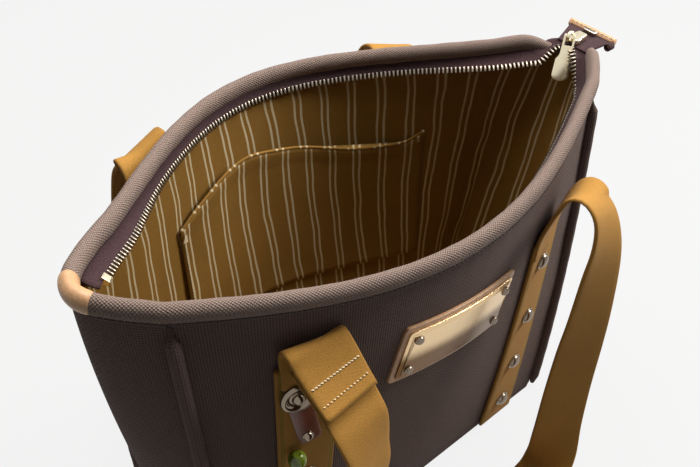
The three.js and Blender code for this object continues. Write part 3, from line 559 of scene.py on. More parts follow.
def flat_piece(name, outline, thickness, edge, holes=()):
    """A plate cut to an outline, with rounded edges, modelled flat in millimetres."""
    deselect()
    curve = bpy.data.curves.new(name, "CURVE")
    curve.dimensions = "2D"
    curve.fill_mode = "BOTH"
    curve.extrude = thickness / 2 - edge
    curve.bevel_depth = edge
    curve.bevel_resolution = 2
    curve.offset = -edge
    for loop in (outline, *holes):
        spline = curve.splines.new("POLY")
        spline.points.add(len(loop) - 1)
        for point, (x, y) in zip(spline.points, loop):
            point.co = (x, y, 0, 1)
        spline.use_cyclic_u = True
    obj = bpy.data.objects.new(name, curve)
    bpy.context.scene.collection.objects.link(obj)
    return as_mesh(obj)


def wire(name, points, radius, cyclic=False):
    """A round wire through points, in millimetres."""
    deselect()
    curve = bpy.data.curves.new(name, "CURVE")
    curve.dimensions = "3D"
    curve.bevel_depth = radius
    curve.bevel_resolution = 4
    curve.use_fill_caps = True
    spline = curve.splines.new("POLY")
    spline.points.add(len(points) - 1)
    for point, at in zip(spline.points, points):
        point.co = (*at, 1)
    spline.use_cyclic_u = cyclic
    obj = bpy.data.objects.new(name, curve)
    bpy.context.scene.collection.objects.link(obj)
    return as_mesh(obj)


def as_mesh(obj):
    bpy.context.view_layer.objects.active = obj
    obj.select_set(True)
    bpy.ops.object.convert(target="MESH")
    obj = bpy.context.object
    bpy.ops.object.mode_set(mode="EDIT")
    bpy.ops.mesh.select_all(action="SELECT")
    bpy.ops.mesh.remove_doubles(threshold=1e-4)
    bpy.ops.mesh.normals_make_consistent(inside=False)
    bpy.ops.object.mode_set(mode="OBJECT")
    bpy.ops.object.shade_smooth_by_angle(angle=math.radians(40))
    deselect()
    return obj


def pick_faces(obj, test):
    """Selects, in edit mode, the faces whose centre and normal pass a test."""
    bpy.ops.mesh.select_mode(type="FACE")
    bpy.ops.mesh.select_all(action="DESELECT")
    bm = bmesh.from_edit_mesh(obj.data)
    for face in bm.faces:
        face.select_set(test(face.calc_center_median(), face.normal))
    bmesh.update_edit_mesh(obj.data)


def domed_head(name, radius, height, ring=0.0):
    """A round head modelled from a cylinder: a thin flange, and a dome raised by insets."""
    deselect()
    flange = height * 0.22
    bpy.ops.mesh.primitive_cylinder_add(
        vertices=36, radius=radius, depth=flange, location=(0, 0, flange / 2)
    )
    obj = bpy.context.object
    obj.name = name
    bpy.ops.object.mode_set(mode="EDIT")
    pick_faces(obj, lambda centre, normal: normal.z > 0.9)
    if ring:
        bpy.ops.mesh.inset(thickness=radius * 0.06, depth=height * 0.22)
        bpy.ops.mesh.inset(thickness=radius * 0.14, depth=height * 0.08)
        bpy.ops.mesh.inset(thickness=radius * 0.12, depth=-height * 0.12)
        bpy.ops.mesh.inset(thickness=radius * 0.06, depth=-height * 0.3)
    bpy.ops.mesh.inset(thickness=radius * (0.14 + ring), depth=0)
    left = radius * (0.86 - ring - (0.38 if ring else 0))
    dome = height - flange
    steps = 7
    for k in range(steps):
        a0 = math.pi / 2 * k / steps
        a1 = math.pi / 2 * (k + 1) / steps
        inward = left * (math.cos(a0) - math.cos(a1)) * (0.97 if k == steps - 1 else 1)
        bpy.ops.mesh.inset(thickness=inward, depth=dome * (math.sin(a1) - math.sin(a0)))
    bpy.ops.object.mode_set(mode="OBJECT")
    bevel = obj.modifiers.new("Bevel", "BEVEL")
    bevel.width = flange * 0.35
    bevel.segments = 2
    bevel.limit_method = "ANGLE"
    bevel.angle_limit = math.radians(60)
    bpy.ops.object.modifier_apply(modifier="Bevel")
    bpy.ops.object.shade_smooth_by_angle(angle=math.radians(50))
    deselect()
    return obj


# ---- Paths on the body ----
def rim_path(side, left_end, right_end, inset=0.0, drop=0.0, step=3.2):
    """Points along the mouth from the left tip to the right one, and the way out at each."""
    points = []
    left = left_end / CORNER[side]
    right = right_end / CORNER[side]
    points += [gusset_point(LEFT, side * mix(left, 1, i / 5), 1) for i in range(5)]
    points += [wall_point(side, mix(-1, 1, i / 26), 1) for i in range(27)]
    points += [gusset_point(RIGHT, side * mix(right, 1, i / 5), 1) for i in range(4, -1, -1)]
    _, path = resample(points, step)
    made = []
    for k, row in enumerate(path):
        ahead = path[min(k + 1, len(path) - 1)] - path[max(k - 1, 0)]
        out = Vector((ahead[1], -ahead[0], 0)).normalized()
        if out.dot(Vector((row[0] * 0.2, row[1], 0))) < 0:
            out = -out
        made.append((Vector(row) - out * inset - Vector((0, 0, drop)), out))
    return made


def perimeter(wall_steps, gusset_steps):
    """The columns of a shell, round the body from the front left corner."""
    columns = [(wall_point, FRONT, mix(-1, 1, i / wall_steps)) for i in range(wall_steps)]
    columns += [(gusset_point, RIGHT, mix(-1, 1, i / gusset_steps)) for i in range(gusset_steps)]
    columns += [(wall_point, BACK, mix(1, -1, i / wall_steps)) for i in range(wall_steps)]
    columns += [(gusset_point, LEFT, mix(1, -1, i / gusset_steps)) for i in range(gusset_steps)]
    return columns


def girths(columns):
    """The cloth size round the body at each column, counted on from the first column."""
    loop = [surface(which, s, 0.6) for surface, which, s in columns]
    run = [0.0]
    for a, b in zip(loop, loop[1:] + loop[:1]):
        run.append(run[-1] + (b - a).length)
    return run


def ripple(side, s, v, amount):
    """Soft undulations of sewn cloth, in millimetres outwards."""
    wide = math.sin(2.3 * s + 3.7 * v + 1.3 * side) + 0.6 * math.sin(5.1 * s - 4.4 * v + 0.7)
    belly = math.sin(math.pi * min(1, max(0, v)))
    near_rim = math.exp(-(1 - v) * 16)
    pucker = math.sin(s * HALF_LENGTH * 2 * math.pi / 14.5) * near_rim
    near_end = math.exp(-(1 - abs(s)) * 9)
    crease = math.sin(v * 21 + side) * near_end * 0.6
    return amount * (0.6 * wide * belly + 0.35 * pucker + crease * belly)


def shell(name, columns, levels, outer, inner, amount):
    """A sewn wall all the way round, open above and below, with its own thickness."""
    rings = []
    heights = []
    for v in levels:
        rings.append([offset(f, w, s, v, outer + ripple(w, s, v, amount)) for f, w, s in columns])
        heights.append(v * RIM_MIDDLE)
    for v in reversed(levels):
        rings.append([offset(f, w, s, v, inner + ripple(w, s, v, amount)) for f, w, s in columns])
        heights.append(v * RIM_MIDDLE)
    rings.append(rings[0])
    heights.append(heights[0])
    return loft(name, rings, girths(columns), heights, caps="merge")


def cloth_sizes(obj):
    """Lays the weave flat over a level piece."""
    layer = obj.data.uv_layers.get("Cloth") or obj.data.uv_layers.new(name="Cloth")
    for loop in obj.data.loops:
        at = obj.data.vertices[loop.vertex_index].co
        layer.data[loop.index].uv = (at.x, at.y)
    for other in [u for u in obj.data.uv_layers if u.name != "Cloth"]:
        obj.data.uv_layers.remove(other)


def slab(name, half_x, half_y, low, high, corner):
    """A level padded plate with rounded corners, modelled from a cube."""
    deselect()
    bpy.ops.mesh.primitive_cube_add(size=2)
    obj = bpy.context.object
    obj.name = name
    obj.scale = (half_x, half_y, (high - low) / 2)
    obj.location = (0, 0, (low + high) / 2)
    bpy.ops.object.transform_apply(location=True, rotation=True, scale=True)
    bpy.ops.object.mode_set(mode="EDIT")
    bpy.ops.mesh.select_mode(type="EDGE")
    bpy.ops.mesh.select_all(action="DESELECT")
    bm = bmesh.from_edit_mesh(obj.data)
    for edge in bm.edges:
        a, b = edge.verts
        edge.select_set(abs(a.co.z - b.co.z) > (high - low) / 2)
    bmesh.update_edit_mesh(obj.data)
    bpy.ops.mesh.bevel(offset=corner, segments=5)
    pick_faces(obj, lambda centre, normal: abs(normal.z) > 0.9)
    bpy.ops.mesh.inset(thickness=(high - low) * 0.45, depth=(high - low) * 0.06)
    bpy.ops.object.mode_set(mode="OBJECT")
    bpy.ops.object.shade_smooth_by_angle(angle=math.radians(50))
    place(obj, Matrix.Identity(4))
    cloth_sizes(obj)
    deselect()
    return obj


def levels(low, high, count):
    return [mix(low, high, i / (count - 1)) for i in range(count)]


# ---- Settings ----
def length_property(name, description, default):
    return FloatProperty(name=name, description=description, default=default, unit="LENGTH")


class BagSizes(PropertyGroup):
    canvas_thickness: length_property("Canvas thickness", "Thickness of the outer cloth", 0.002)
    webbing_width: length_property("Webbing width", "Width of the handles and strips", 0.036)
    roll_height: length_property("Rim height", "Height of the padded hem round the mouth", 0.0122)
    tooth_pitch: length_property("Tooth pitch", "Distance from one zip tooth to the next", 0.0029)
    softness: FloatProperty(
        name="Softness", description="How much the cloth undulates, in millimetres", default=1.0
    )


def colour_property(name, description, default):
    return FloatVectorProperty(
        name=name, description=description, default=default, subtype="COLOR", size=3
    )


class BagColours(PropertyGroup):
    canvas: colour_property("Canvas", "Outer cloth", (0.112, 0.072, 0.060))
    # Painted light: the same canvas as the walls, made about twice as light because the top of the hem faces up
    # towards the lamps.
    rim: colour_property("Rim canvas with painted light", "Cloth round the mouth", (0.235, 0.170, 0.142))
    lining: colour_property("Lining", "Cotton lining", (0.220, 0.110, 0.017))
    stripe: colour_property("Stripe", "Stripes of the lining", (0.52, 0.42, 0.25))
    webbing: colour_property("Webbing", "Handles and strips", (0.430, 0.215, 0.042))
    thread: colour_property("Edge thread", "Stitching along the strips", (0.32, 0.27, 0.02))
    pale_thread: colour_property("Pale thread", "Cross stitches and hems", (0.80, 0.66, 0.44))
    leather: colour_property("Tan leather", "Tip, tail and backing of the plate", (0.62, 0.35, 0.175))
    dark_leather: colour_property("Dark leather", "Tab of the charm", (0.17, 0.036, 0.012))
    brass: colour_property("Brass", "Plate", (0.86, 0.63, 0.36))
    pale_gold: colour_property("Pale gold", "Slider and pull", (0.97, 0.86, 0.62))
    # Painted reflection shade: the nickel is made dark brown so that studs and rivets look as dark as the dark
    # surroundings that they reflect.
    nickel: colour_property("Nickel", "Studs and rivets", (0.25, 0.20, 0.15))
    ring: colour_property("Aged brass", "Small ring", (0.62, 0.46, 0.22))
    teeth: colour_property("Teeth", "Zip teeth", (0.30, 0.26, 0.21))
    tape: colour_property("Zip tape", "Tape of the zip", (0.050, 0.024, 0.027))
    bead: colour_property("Bead", "Bead of the charm", (0.20, 0.28, 0.02))


def sizes():
    return bpy.context.scene.bag_sizes


def colours():
    return bpy.context.scene.bag_colours


def finish_of(key):
    """A material, made the first time that it's asked for."""
    made = bpy.data.materials.get(MATERIAL_NAMES[key])
    if made:
        return made
    c = colours()
    makers = {
        "canvas": lambda: canvas_finish("Canvas", tuple(c.canvas), 0.0015, False),
        # The rim colour carries painted light from above, not a lighter cloth.
        "rim": lambda: canvas_finish("Rim canvas with painted light", tuple(c.rim), 0.0017, True),
        # Painted shade: the seam thread is given 0.45 times the canvas colour, standing in for the shade in the
        # groove under the hem.
        "seam": lambda: plain_finish("Seam thread in painted shade", scaled(tuple(c.canvas), 0.45), 0.8, 2500.0),
        "lining": lambda: lining_finish(tuple(c.lining), tuple(c.stripe)),
        "webbing": lambda: webbing_finish(tuple(c.webbing), tuple(c.thread), False),
        "strip": lambda: webbing_finish(tuple(c.webbing), tuple(c.thread), True),
        "leather": lambda: leather_finish("Tan leather", tuple(c.leather), 0.45, scaled(tuple(c.leather), 0.75)),
        "dark_leather": lambda: leather_finish(
            "Dark leather", tuple(c.dark_leather), 0.28, scaled(tuple(c.dark_leather), 1.8)
        ),
        "brass": lambda: plate_finish(tuple(c.brass)),
        "pale_gold": lambda: metal_finish("Pale gold", tuple(c.pale_gold), 0.2, 0.3),
        # The dark nickel colour is painted reflection shade.
        "nickel": lambda: metal_finish("Nickel", tuple(c.nickel), 0.14, 0.5),
        "ring": lambda: metal_finish("Aged brass", tuple(c.ring), 0.3, 0.7),
        "teeth": lambda: metal_finish("Teeth", tuple(c.teeth), 0.28, 0.6),
        "tape": lambda: tape_finish(tuple(c.tape)),
        "thread": lambda: plain_finish("Pale thread", tuple(c.pale_thread), 0.7, 2500.0),
        "board": lambda: plain_finish("Fibre board", (0.03, 0.022, 0.016), 0.85, 700.0),
        "bead": lambda: plain_finish("Green bead", tuple(c.bead), 0.12, 120.0),
    }
    return makers[key]()


MATERIAL_NAMES = {
    "canvas": "Canvas",
    "rim": "Rim canvas with painted light",
    "seam": "Seam thread in painted shade",
    "lining": "Striped cotton",
    "webbing": "Webbing",
    "strip": "Stitched webbing",
    "leather": "Tan leather",
    "dark_leather": "Dark leather",
    "brass": "Plate brass",
    "pale_gold": "Pale gold",
    "nickel": "Nickel",
    "ring": "Aged brass",
    "teeth": "Teeth",
    "tape": "Zip tape",
    "thread": "Pale thread",
    "board": "Fibre board",
    "bead": "Green bead",
}

CANVAS_FACE = 1.2
STRIP_SEAT = CANVAS_FACE + 0.8
LINING_FACE = -1.9


class BAG_OT_canvas(Operator):
    """Sewn canvas walls and base"""

    bl_idname = "bag.canvas"
    bl_label = "Canvas"

    def execute(self, context):
        thickness = sizes().canvas_thickness / MM
        rows = levels(2.5 / RIM_MIDDLE, 1 - 3 / RIM_MIDDLE, 62)
        columns = perimeter(104, 40)
        inner = CANVAS_FACE - thickness
        walls = shell("canvas_walls", columns, rows, CANVAS_FACE, inner, 0.7 * sizes().softness)
        nodes = ("front_panel", "back_panel", "left_gusset", "right_gusset")
        settle(walls, "bag", "canvas", finish_of("canvas"), *nodes)
        length, depth = half_length(0), corner_depth(FRONT, 0)
        base = slab("canvas_base", length + 1.1, depth + 1.1, 0.15, 3.0, 5)
        settle(base, "bag", "canvas", finish_of("canvas"), "base_panel")
        board = slab("stiff_board", length - 3, depth - 3, 3.2, 4.8, 8)
        settle(board, "bag", "board", finish_of("board"), "base_board")
        return {"FINISHED"}


class BAG_OT_pipings(Operator):
    """Canvas-covered cords up the four corners"""

    bl_idname = "bag.pipings"
    bl_label = "Corner pipings"

    def execute(self, context):
        names = {(FRONT, LEFT): "front_left", (FRONT, RIGHT): "front_right"}
        names.update({(BACK, LEFT): "back_left", (BACK, RIGHT): "back_right"})
        for (side, end), name in names.items():
            points = []
            for v in levels(3.2 / RIM_MIDDLE, 1 - 5 / RIM_MIDDLE, 60):
                wall = offset(wall_point, side, end, v, 1) - wall_point(side, end, v)
                gusset = offset(gusset_point, end, side, v, 1) - gusset_point(end, side, v)
                out = (wall + gusset).normalized()
                fade = smooth((v - 0.935) / 0.03)
                points.append(wall_point(side, end, v) + out * mix(2.9, 0.9, fade))
            acrosses = [Vector((end, side, 0))] * len(points)

            def size(share):
                head = mix(1, 0.28, smooth((share - 0.945) / 0.03))
                foot = mix(0.45, 1, smooth(share / 0.035))
                return head * foot * (1 + 0.02 * math.sin(share * 90))

            piping = tube(f"{name}_cord", points, acrosses, 3.9, 3.9, 20, size)
            settle(piping, "bag", "canvas", finish_of("canvas"), f"{name}_piping")
        return {"FINISHED"}


class BAG_OT_rim(Operator):
    """Padded hem round the mouth and the leather wrap on its left tip"""

    bl_idname = "bag.rim"
    bl_label = "Rim"

    def execute(self, context):
        half = sizes().roll_height / MM / 2
        for side, name, right_end in ((FRONT, "front", 9.9), (BACK, "back", 11.0)):
            path = rim_path(side, 8.8, right_end, step=2.6)
            tuck = 0.93 if side == BACK else 0.985

            def size(share):
                ends = 1 - 0.4 * smooth((share - tuck) / (1 - tuck))
                short, long = math.sin(share * 140), math.sin(share * 61 + side)
                return ends * (1 + 0.014 * short + 0.014 * long)

            points = []
            for k, (point, _) in enumerate(path):
                dip = 8.5 * smooth((k / (len(path) - 1) - tuck) / (1 - tuck)) if side == BACK else 0
                points.append(point - Vector((0, 0, dip)))
            roll = tube(f"{name}_hem", points, [o for _, o in path], 4.5, half, 28, size)
            settle(roll, "bag", "canvas", finish_of("rim"), f"{name}_rim_roll")
            self.seam(side, name, right_end)
        tip = []
        for i in range(25):
            y = mix(-10, 10, i / 24)
            tip.append(gusset_point(LEFT, y / CORNER[FRONT if y < 0 else BACK], 1))

        def cover(share):
            edge = min(share, 1 - share)
            return 1 - 0.08 * (1 - smooth(edge / 0.06)) + 0.02 * math.sin(share * 9)

        acrosses = [Vector((-1, 0, 0))] * len(tip)
        wrap = tube("left_tip_wrap", tip, acrosses, 5.0, half + 0.6, 32, cover)
        settle(wrap, "bag", "tan_leather", finish_of("leather"), "left_tip_tab")
        return {"FINISHED"}

    def seam(self, side, name, right_end):
        """The line of stitches that closes the hem on the outside; their dark colour is painted shade of the
        groove under the hem.
        """
        path = [p for p, _ in rim_path(side, 13, right_end + 3, -3.9, 4.2, 3.1)]
        places = [(p, path[min(k + 1, len(path) - 1)] - path[max(k - 1, 0)], 2.3) for k, p in enumerate(path)]
        stitches(f"{name}_hem_stitches", places, 0.45, "bag", "canvas", "seam")


class BAG_OT_lining(Operator):
    """Striped lining and its patch pocket"""

    bl_idname = "bag.lining"
    bl_label = "Lining"

    def execute(self, context):
        rows = levels(6.5 / RIM_MIDDLE, 1 - 9 / RIM_MIDDLE, 50)
        columns = perimeter(90, 34)
        columns = [(f, w, s * (0.992 if f is wall_point else 0.97)) for f, w, s in columns]
        inner = LINING_FACE - 0.8
        walls = shell("lining_walls", columns, rows, LINING_FACE, inner, 1.3 * sizes().softness)
        shift = self.back_middle(columns)
        for loop in walls.data.uv_layers["Cloth"].data:
            loop.uv.x = shift - loop.uv.x
        settle(walls, "bag", "lining", finish_of("lining"), "lining")
        floor = slab("lining_floor", half_length(0) - 4, corner_depth(FRONT, 0) - 4, 5.2, 6.6, 7)
        settle(floor, "bag", "lining", finish_of("lining"))
        self.pocket()
        return {"FINISHED"}

    def back_middle(self, columns):
        """Where the stripes are counted from, so that they stand in the middle of the back."""
        run = girths(columns)
        back = [i for i, (f, w, s) in enumerate(columns) if f is wall_point and w == BACK and s <= 0]
        middle = back[0]
        return run[middle] * MM - 0.008

    def pocket(self):
        tops = [(-96, 208), (-80, 214), (-58, 218), (-40, 221), (-22, 222), (4, 217), (28, 212)]
        tops += [(65, 203), (100, 201), (116, 209)]
        bottoms = [(-92, 120), (-50, 112), (0, 106), (60, 97), (116, 92)]

        tops, bottoms = resample(tops, 4)[1], resample(bottoms, 4)[1]

        def edge_height(table, x):
            return float(np.interp(x, table[:, 0], table[:, 1]))

        across = 56
        columns = [mix(-92, 116, i / across) for i in range(across + 1)]
        rings = []
        heights = []
        steps = 30
        for j in range(steps + 1):
            b = j / steps
            front, rear = [], []
            for i in range(across + 1):
                a = mix(-1, 1, i / across)
                x = columns[i]
                z = mix(edge_height(bottoms, x), edge_height(tops, x), b)
                gape = 9.0 * (1 - a * a) * b**1.6 + 0.5 * math.sin(a * 9 + b * 3) * b
                hem = 0.55 if b > 0.93 else 0.0
                seat = LINING_FACE - 1.6 - gape
                front.append(on_wall(BACK, x, z, seat - 0.9 - hem))
                rear.append(on_wall(BACK, x, z, seat))
            rings.append(front + rear[::-1])
            heights.append(b * 110)
        run = arc_lengths([on_wall(BACK, x, 170, 0) for x in columns])
        middle = run[min(range(across + 1), key=lambda i: abs(columns[i]))]
        us = [r - middle - 8 for r in run]
        us = us + us[::-1] + [us[0]]
        pocket = loft("patch_pocket", rings, us, heights)
        settle(pocket, "bag", "lining", finish_of("lining"), "inner_pocket")
        edge = []
        for i in range(across + 1):
            a = mix(-1, 1, i / across)
            x = mix(-92, 116, i / across)
            gape = 9.0 * (1 - a * a) + 0.5 * math.sin(a * 9 + 3)
            edge.append(on_wall(BACK, x, edge_height(tops, x), LINING_FACE - 2.2 - gape))
        marks, path = resample(edge, 2.5)
        acrosses = [Vector((0, -1, 0))] * len(path)
        cord = tube("pocket_edge", [Vector(p) for p in path], acrosses, 1.1, 1.1, 10)
        settle(cord, "bag", "lining", finish_of("lining"))
        dashes = []
        for k in range(1, len(path) - 1):
            at = Vector(path[k]) + Vector((0, -0.3, -7.5))
            dashes.append((at, Vector(path[k + 1]) - Vector(path[k - 1]), 1.6))
        for z in np.arange(124, 206, 2.6):
            dashes.append((on_wall(BACK, -89.5, z, LINING_FACE - 2.9), Vector((0, 0, 1)), 1.6))
        for x, z in ((-90, 205), (113, 205)):
            for k in range(5):
                at = on_wall(BACK, x, z - 1.1 * k, LINING_FACE - 2.9)
                dashes.append((at, Vector((1, 0, 0)), 4.5))
        stitches("pocket_stitches", dashes, 0.3, "bag", "lining")


def stitches(name, places, radius, body, slot, material="thread"):
    """Short threads that lie along a seam: each has its middle, its way and its length."""
    deselect()
    bpy.ops.mesh.primitive_cylinder_add(vertices=6, radius=1, depth=2)
    template = bpy.context.object
    bpy.ops.object.mode_set(mode="EDIT")
    pick_faces(template, lambda centre, normal: abs(normal.z) > 0.9)
    bpy.ops.mesh.inset(thickness=0.45, depth=0.25)
    bpy.ops.object.mode_set(mode="OBJECT")
    stitched = copies(name, template, [thread_frame(*p, radius) for p in places])
    return settle(stitched, body, slot, finish_of(material))


def thread_frame(at, way, length, radius):
    turn = Vector(way).to_track_quat("Z", "Y").to_matrix().to_4x4()
    size = Matrix.Diagonal((radius, radius, length / 2, 1))
    return Matrix.Translation(at) @ turn @ size


def copies(name, template, matrices):
    """One mesh made of copies of a piece modelled at the origin, which is then removed."""
    mesh = template.data
    base = np.array([v.co for v in mesh.vertices])
    faces = [list(p.vertices) for p in mesh.polygons]
    points, all_faces = [], []
    for matrix in matrices:
        m = np.array(matrix)
        start = len(points) * len(base)
        points.append((base @ m[:3, :3].T + m[:3, 3]) * MM)
        all_faces += [[start + i for i in face] for face in faces]
    made = bpy.data.meshes.new(name)
    made.from_pydata(np.concatenate(points).tolist(), [], all_faces)
    made.update()
    for polygon in made.polygons:
        polygon.use_smooth = True
    obj = bpy.data.objects.new(name, made)
    bpy.context.scene.collection.objects.link(obj)
    bpy.data.objects.remove(template)
    return obj


CORNERS = {
    "front_left": (FRONT, LEFT, 226.0),
    "front_right": (FRONT, RIGHT, 204.0),
    "back_left": (BACK, LEFT, 228.0),
    "back_right": (BACK, RIGHT, 232.0),
}
STUD_LEVELS = (27.0, 74.0, 125.0, 179.0)


class BAG_OT_strips(Operator):
    """Webbing sewn up the walls"""

    bl_idname = "bag.strips"
    bl_label = "Sewn strips"

    def execute(self, context):
        half = sizes().webbing_width / MM / 2
        section = band_section(half, STRAP_THICK, 12)
        for name, (side, end, top) in CORNERS.items():
            rings = []
            rows = levels(4, top, 84)
            for z in rows:
                ring = []
                for a, b in section:
                    ring.append(on_wall(side, end * STRAP_X - end * a, z, STRIP_SEAT + STRAP_THICK / 2 + b))
                rings.append(ring)
            us = [a for a, _ in section] + [section[0][0]]
            strip = loft(f"{name}_webbing", rings, us, rows, swap=True)
            settle(strip, "bag", "webbing", finish_of("strip"), f"{name}_strip")
        return {"FINISHED"}


class BAG_OT_handles(Operator):
    """Front and back handles, and the stitched end of the front one"""

    bl_idname = "bag.handles"
    bl_label = "Handles"

    def execute(self, context):
        self.front()
        self.back()
        return {"FINISHED"}

    def leg(self, end, drop, reach):
        """A leg from its upper part down to the table."""
        floor = 1.4 + STRAP_THICK / 2
        keys = [(reach, -drop - 1, 165, 0.95, 0.27), (reach + 0.5, -drop - 1.6, 130, 0.91, 0.41)]
        keys += [(reach, -drop - 3, 88, 0.87, 0.5), (reach - 1.5, -drop - 6, 47, 0.78, 0.62)]
        keys.append((reach - 3.5, -drop - 9, 20, 0.55, 0.84))
        keys.append((reach - 11, -drop - 10.5, floor + 3.2, 0.25, 0.97))
        keys += [(reach - 24, -drop - 11.5, floor, 0.05, 1), (reach - 52, -drop - 13.5, floor, 0, 1)]
        return [((end * x, y, z), (-end * a, b, 0)) for x, y, z, a, b in keys]

    def front(self):
        half = sizes().webbing_width / MM / 2
        right = self.on_strip(FRONT, RIGHT, (190, 200), (-0.96, -0.29, 0))
        right += [((101, -63.7, 212), (-0.96, -0.29, 0)), ((101.2, -65.8, 223), (-0.95, -0.31, 0))]
        right += [
            ((101.3, -69.2, 235), (-0.94, -0.33, 0.06)),
            ((101, -74.6, 244.5), (-0.93, -0.35, 0.12)),
        ]
        right += [
            ((100.5, -81.8, 250), (-0.93, -0.33, 0.22)),
            ((100, -90, 250.3), (-0.93, -0.33, 0.25)),
        ]
        right += [
            ((100, -98, 243), (-0.95, -0.25, 0.22)),
            ((100, -103.8, 227), (-0.98, -0.1, 0.15)),
        ]
        right += [((100, -107, 203), (-0.98, 0.1, 0.04))]
        right += self.leg(RIGHT, 108.4, 100)
        left = [((-101, -68.6, 238.6), (1, -0.26, 0.06)), ((-100.5, -73, 234.6), (1, -0.2, 0.05))]
        left += [((-99.6, -79, 228.8), (1, -0.13, 0.03)), ((-98.8, -86.5, 221.6), (1, -0.05, 0.02))]
        left += [((-98, -94, 214.3), (1, 0, 0.01)), ((-97, -100.5, 206), (1, 0.05, 0))]
        left += [((-95.5, -104.5, 195), (0.98, 0.2, 0)), ((-94.5, -107, 181), (0.95, 0.3, 0))]
        left += self.leg(LEFT, 108, 94.5)
        floor = 1.4 + STRAP_THICK / 2
        keys = left + [((0, -124, floor), (0, 1, 0))] + right[::-1]
        strap = band("front_webbing", [p for p, _ in keys], [a for _, a in keys], half, STRAP_THICK)
        settle(strap, None, "webbing", finish_of("webbing"), "front_handle")
        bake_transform(strap)
        flap = [((-101, -65, 214), (1, -0.3, 0)), ((-101.2, -64.6, 226), (1, -0.3, 0.02))]
        flap += [((-101.3, -62.9, 236), (1, -0.3, 0.05)), ((-101.3, -63.7, 242), (1, -0.3, 0.07))]
        flap += [
            ((-101.2, -67.3, 243.6), (1, -0.27, 0.06)),
            ((-100.6, -73.5, 238.7), (1, -0.2, 0.05)),
        ]
        flap += [((-99.6, -80.5, 231.6), (1, -0.12, 0.03)), ((-98.8, -87, 225.3), (1, -0.05, 0.02))]
        flap += [((-98, -93, 219.7), (1, 0, 0.01))]
        path, acrosses = [p for p, _ in flap], [a for _, a in flap]
        end = band("stitched_end", path, acrosses, half, 2.8)
        settle(end, None, "webbing", finish_of("webbing"), "front_handle_stitched_end")
        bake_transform(end)
        self.cross_stitches(*band_frames(path, acrosses))

    def cross_stitches(self, marks, frames):
        """Two rows of slanted stitches across the folded end."""
        places = []
        for row, count, length in ((9.0, 14, 0.9), (18.0, 16, 1.35)):
            k = min(range(len(marks)), key=lambda i: abs(marks[-1] - marks[i] - row))
            point, across, face = frames[k]
            ahead = across.cross(face)
            out = face if face.z > 0 else -face
            for i in range(count):
                at = point + across * mix(-14.8, 14.8, i / (count - 1)) + out * 1.55
                places.append((at, across + ahead * 0.45, length))
        sewn = stitches("cross_stitches", places, 0.42, None, "webbing")
        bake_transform(sewn)

    def on_strip(self, side, end, rows, across):
        """Where a handle leaves the strip that it is part of."""
        seat = STRIP_SEAT + STRAP_THICK / 2 + 0.15
        return [(tuple(on_wall(side, end * STRAP_X, z, seat)), across) for z in rows]

    def back(self):
        half = sizes().webbing_width / MM / 2
        arcs = {
            LEFT: [(101, 85.5, 240), (100, 89.5, 252), (98, 95.5, 261), (96, 103, 264), (95, 110.5, 260.5)],
            RIGHT: [(101.5, 84.5, 241), (102.5, 87, 253.5), (104.5, 92, 262.5), (106, 99.5, 265.5), (106.5, 108, 261.5)],
        }
        arcs[LEFT] += [(94.5, 116.5, 248.5), (94, 120.5, 229), (94, 123.5, 204)]
        arcs[RIGHT] += [(106.5, 115.5, 248.5), (106.5, 121, 230), (106.5, 125.5, 205)]
        turns = [(0.88, 0.47, 0), (0.9, 0.42, 0.1), (0.92, 0.36, 0.17), (0.93, 0.33, 0.2), (0.94, 0.28, 0.18)]
        turns += [(0.97, 0.18, 0.12), (1, 0.06, 0.05), (1, -0.1, 0)]

        def side_keys(end):
            keys = self.on_strip(BACK, end, (214, 226), (-end * 0.86, 0.51, 0))
            keys += [((end * x, y, z), (-end * a, b, c)) for (x, y, z), (a, b, c) in zip(arcs[end], turns)]
            leg = self.leg(end, 127, arcs[end][-1][0])
            return keys + [((p[0], -p[1], p[2]), (a[0], -a[1], 0)) for p, a in leg]

        floor = 1.4 + STRAP_THICK / 2
        middle = ((0, 143, floor), (0, -1, 0))
        keys = side_keys(LEFT) + [middle] + side_keys(RIGHT)[::-1]
        strap = band("back_webbing", [p for p, _ in keys], [a for _, a in keys], half, STRAP_THICK)
        settle(strap, None, "webbing", finish_of("webbing"), "back_handle")
        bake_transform(strap)


class BAG_OT_studs(Operator):
    """Domed studs on the strips"""

    bl_idname = "bag.studs"
    bl_label = "Studs"

    def execute(self, context):
        template = domed_head("stud", 6.3, 4.2)
        for name, (side, end, _) in CORNERS.items():
            count = 3 if name == "front_left" else 4
            for i, z in enumerate(STUD_LEVELS[:count]):
                seat = wall_frame(side, end * STRAP_X, z, STRIP_SEAT + STRAP_THICK + 0.1)
                stud = twin(template, f"{name}_dome_{i + 1}", seat)
                settle(stud, "bag", "studs", finish_of("nickel"), f"{name}_stud_{i + 1}")
        bpy.data.objects.remove(template)
        return {"FINISHED"}


def plate_place(across, up):
    """Where a point of the plate, counted from its middle, is on the front wall."""
    cos, sin = math.cos(PLATE_TILT), math.sin(PLATE_TILT)
    return PLATE_X + across * cos - up * sin, PLATE_Z + across * sin + up * cos


def bent_on_wall(obj, seat):
    """Bends a flat piece, modelled in millimetres with its back at zero, onto the front wall."""
    obj.data.transform(obj.matrix_world)
    obj.matrix_world = Matrix.Identity(4)
    for vertex in obj.data.vertices:
        a, b, c = vertex.co
        vertex.co = on_wall(FRONT, *plate_place(a, b), seat + c) * MM
    obj.data.update()
    return obj


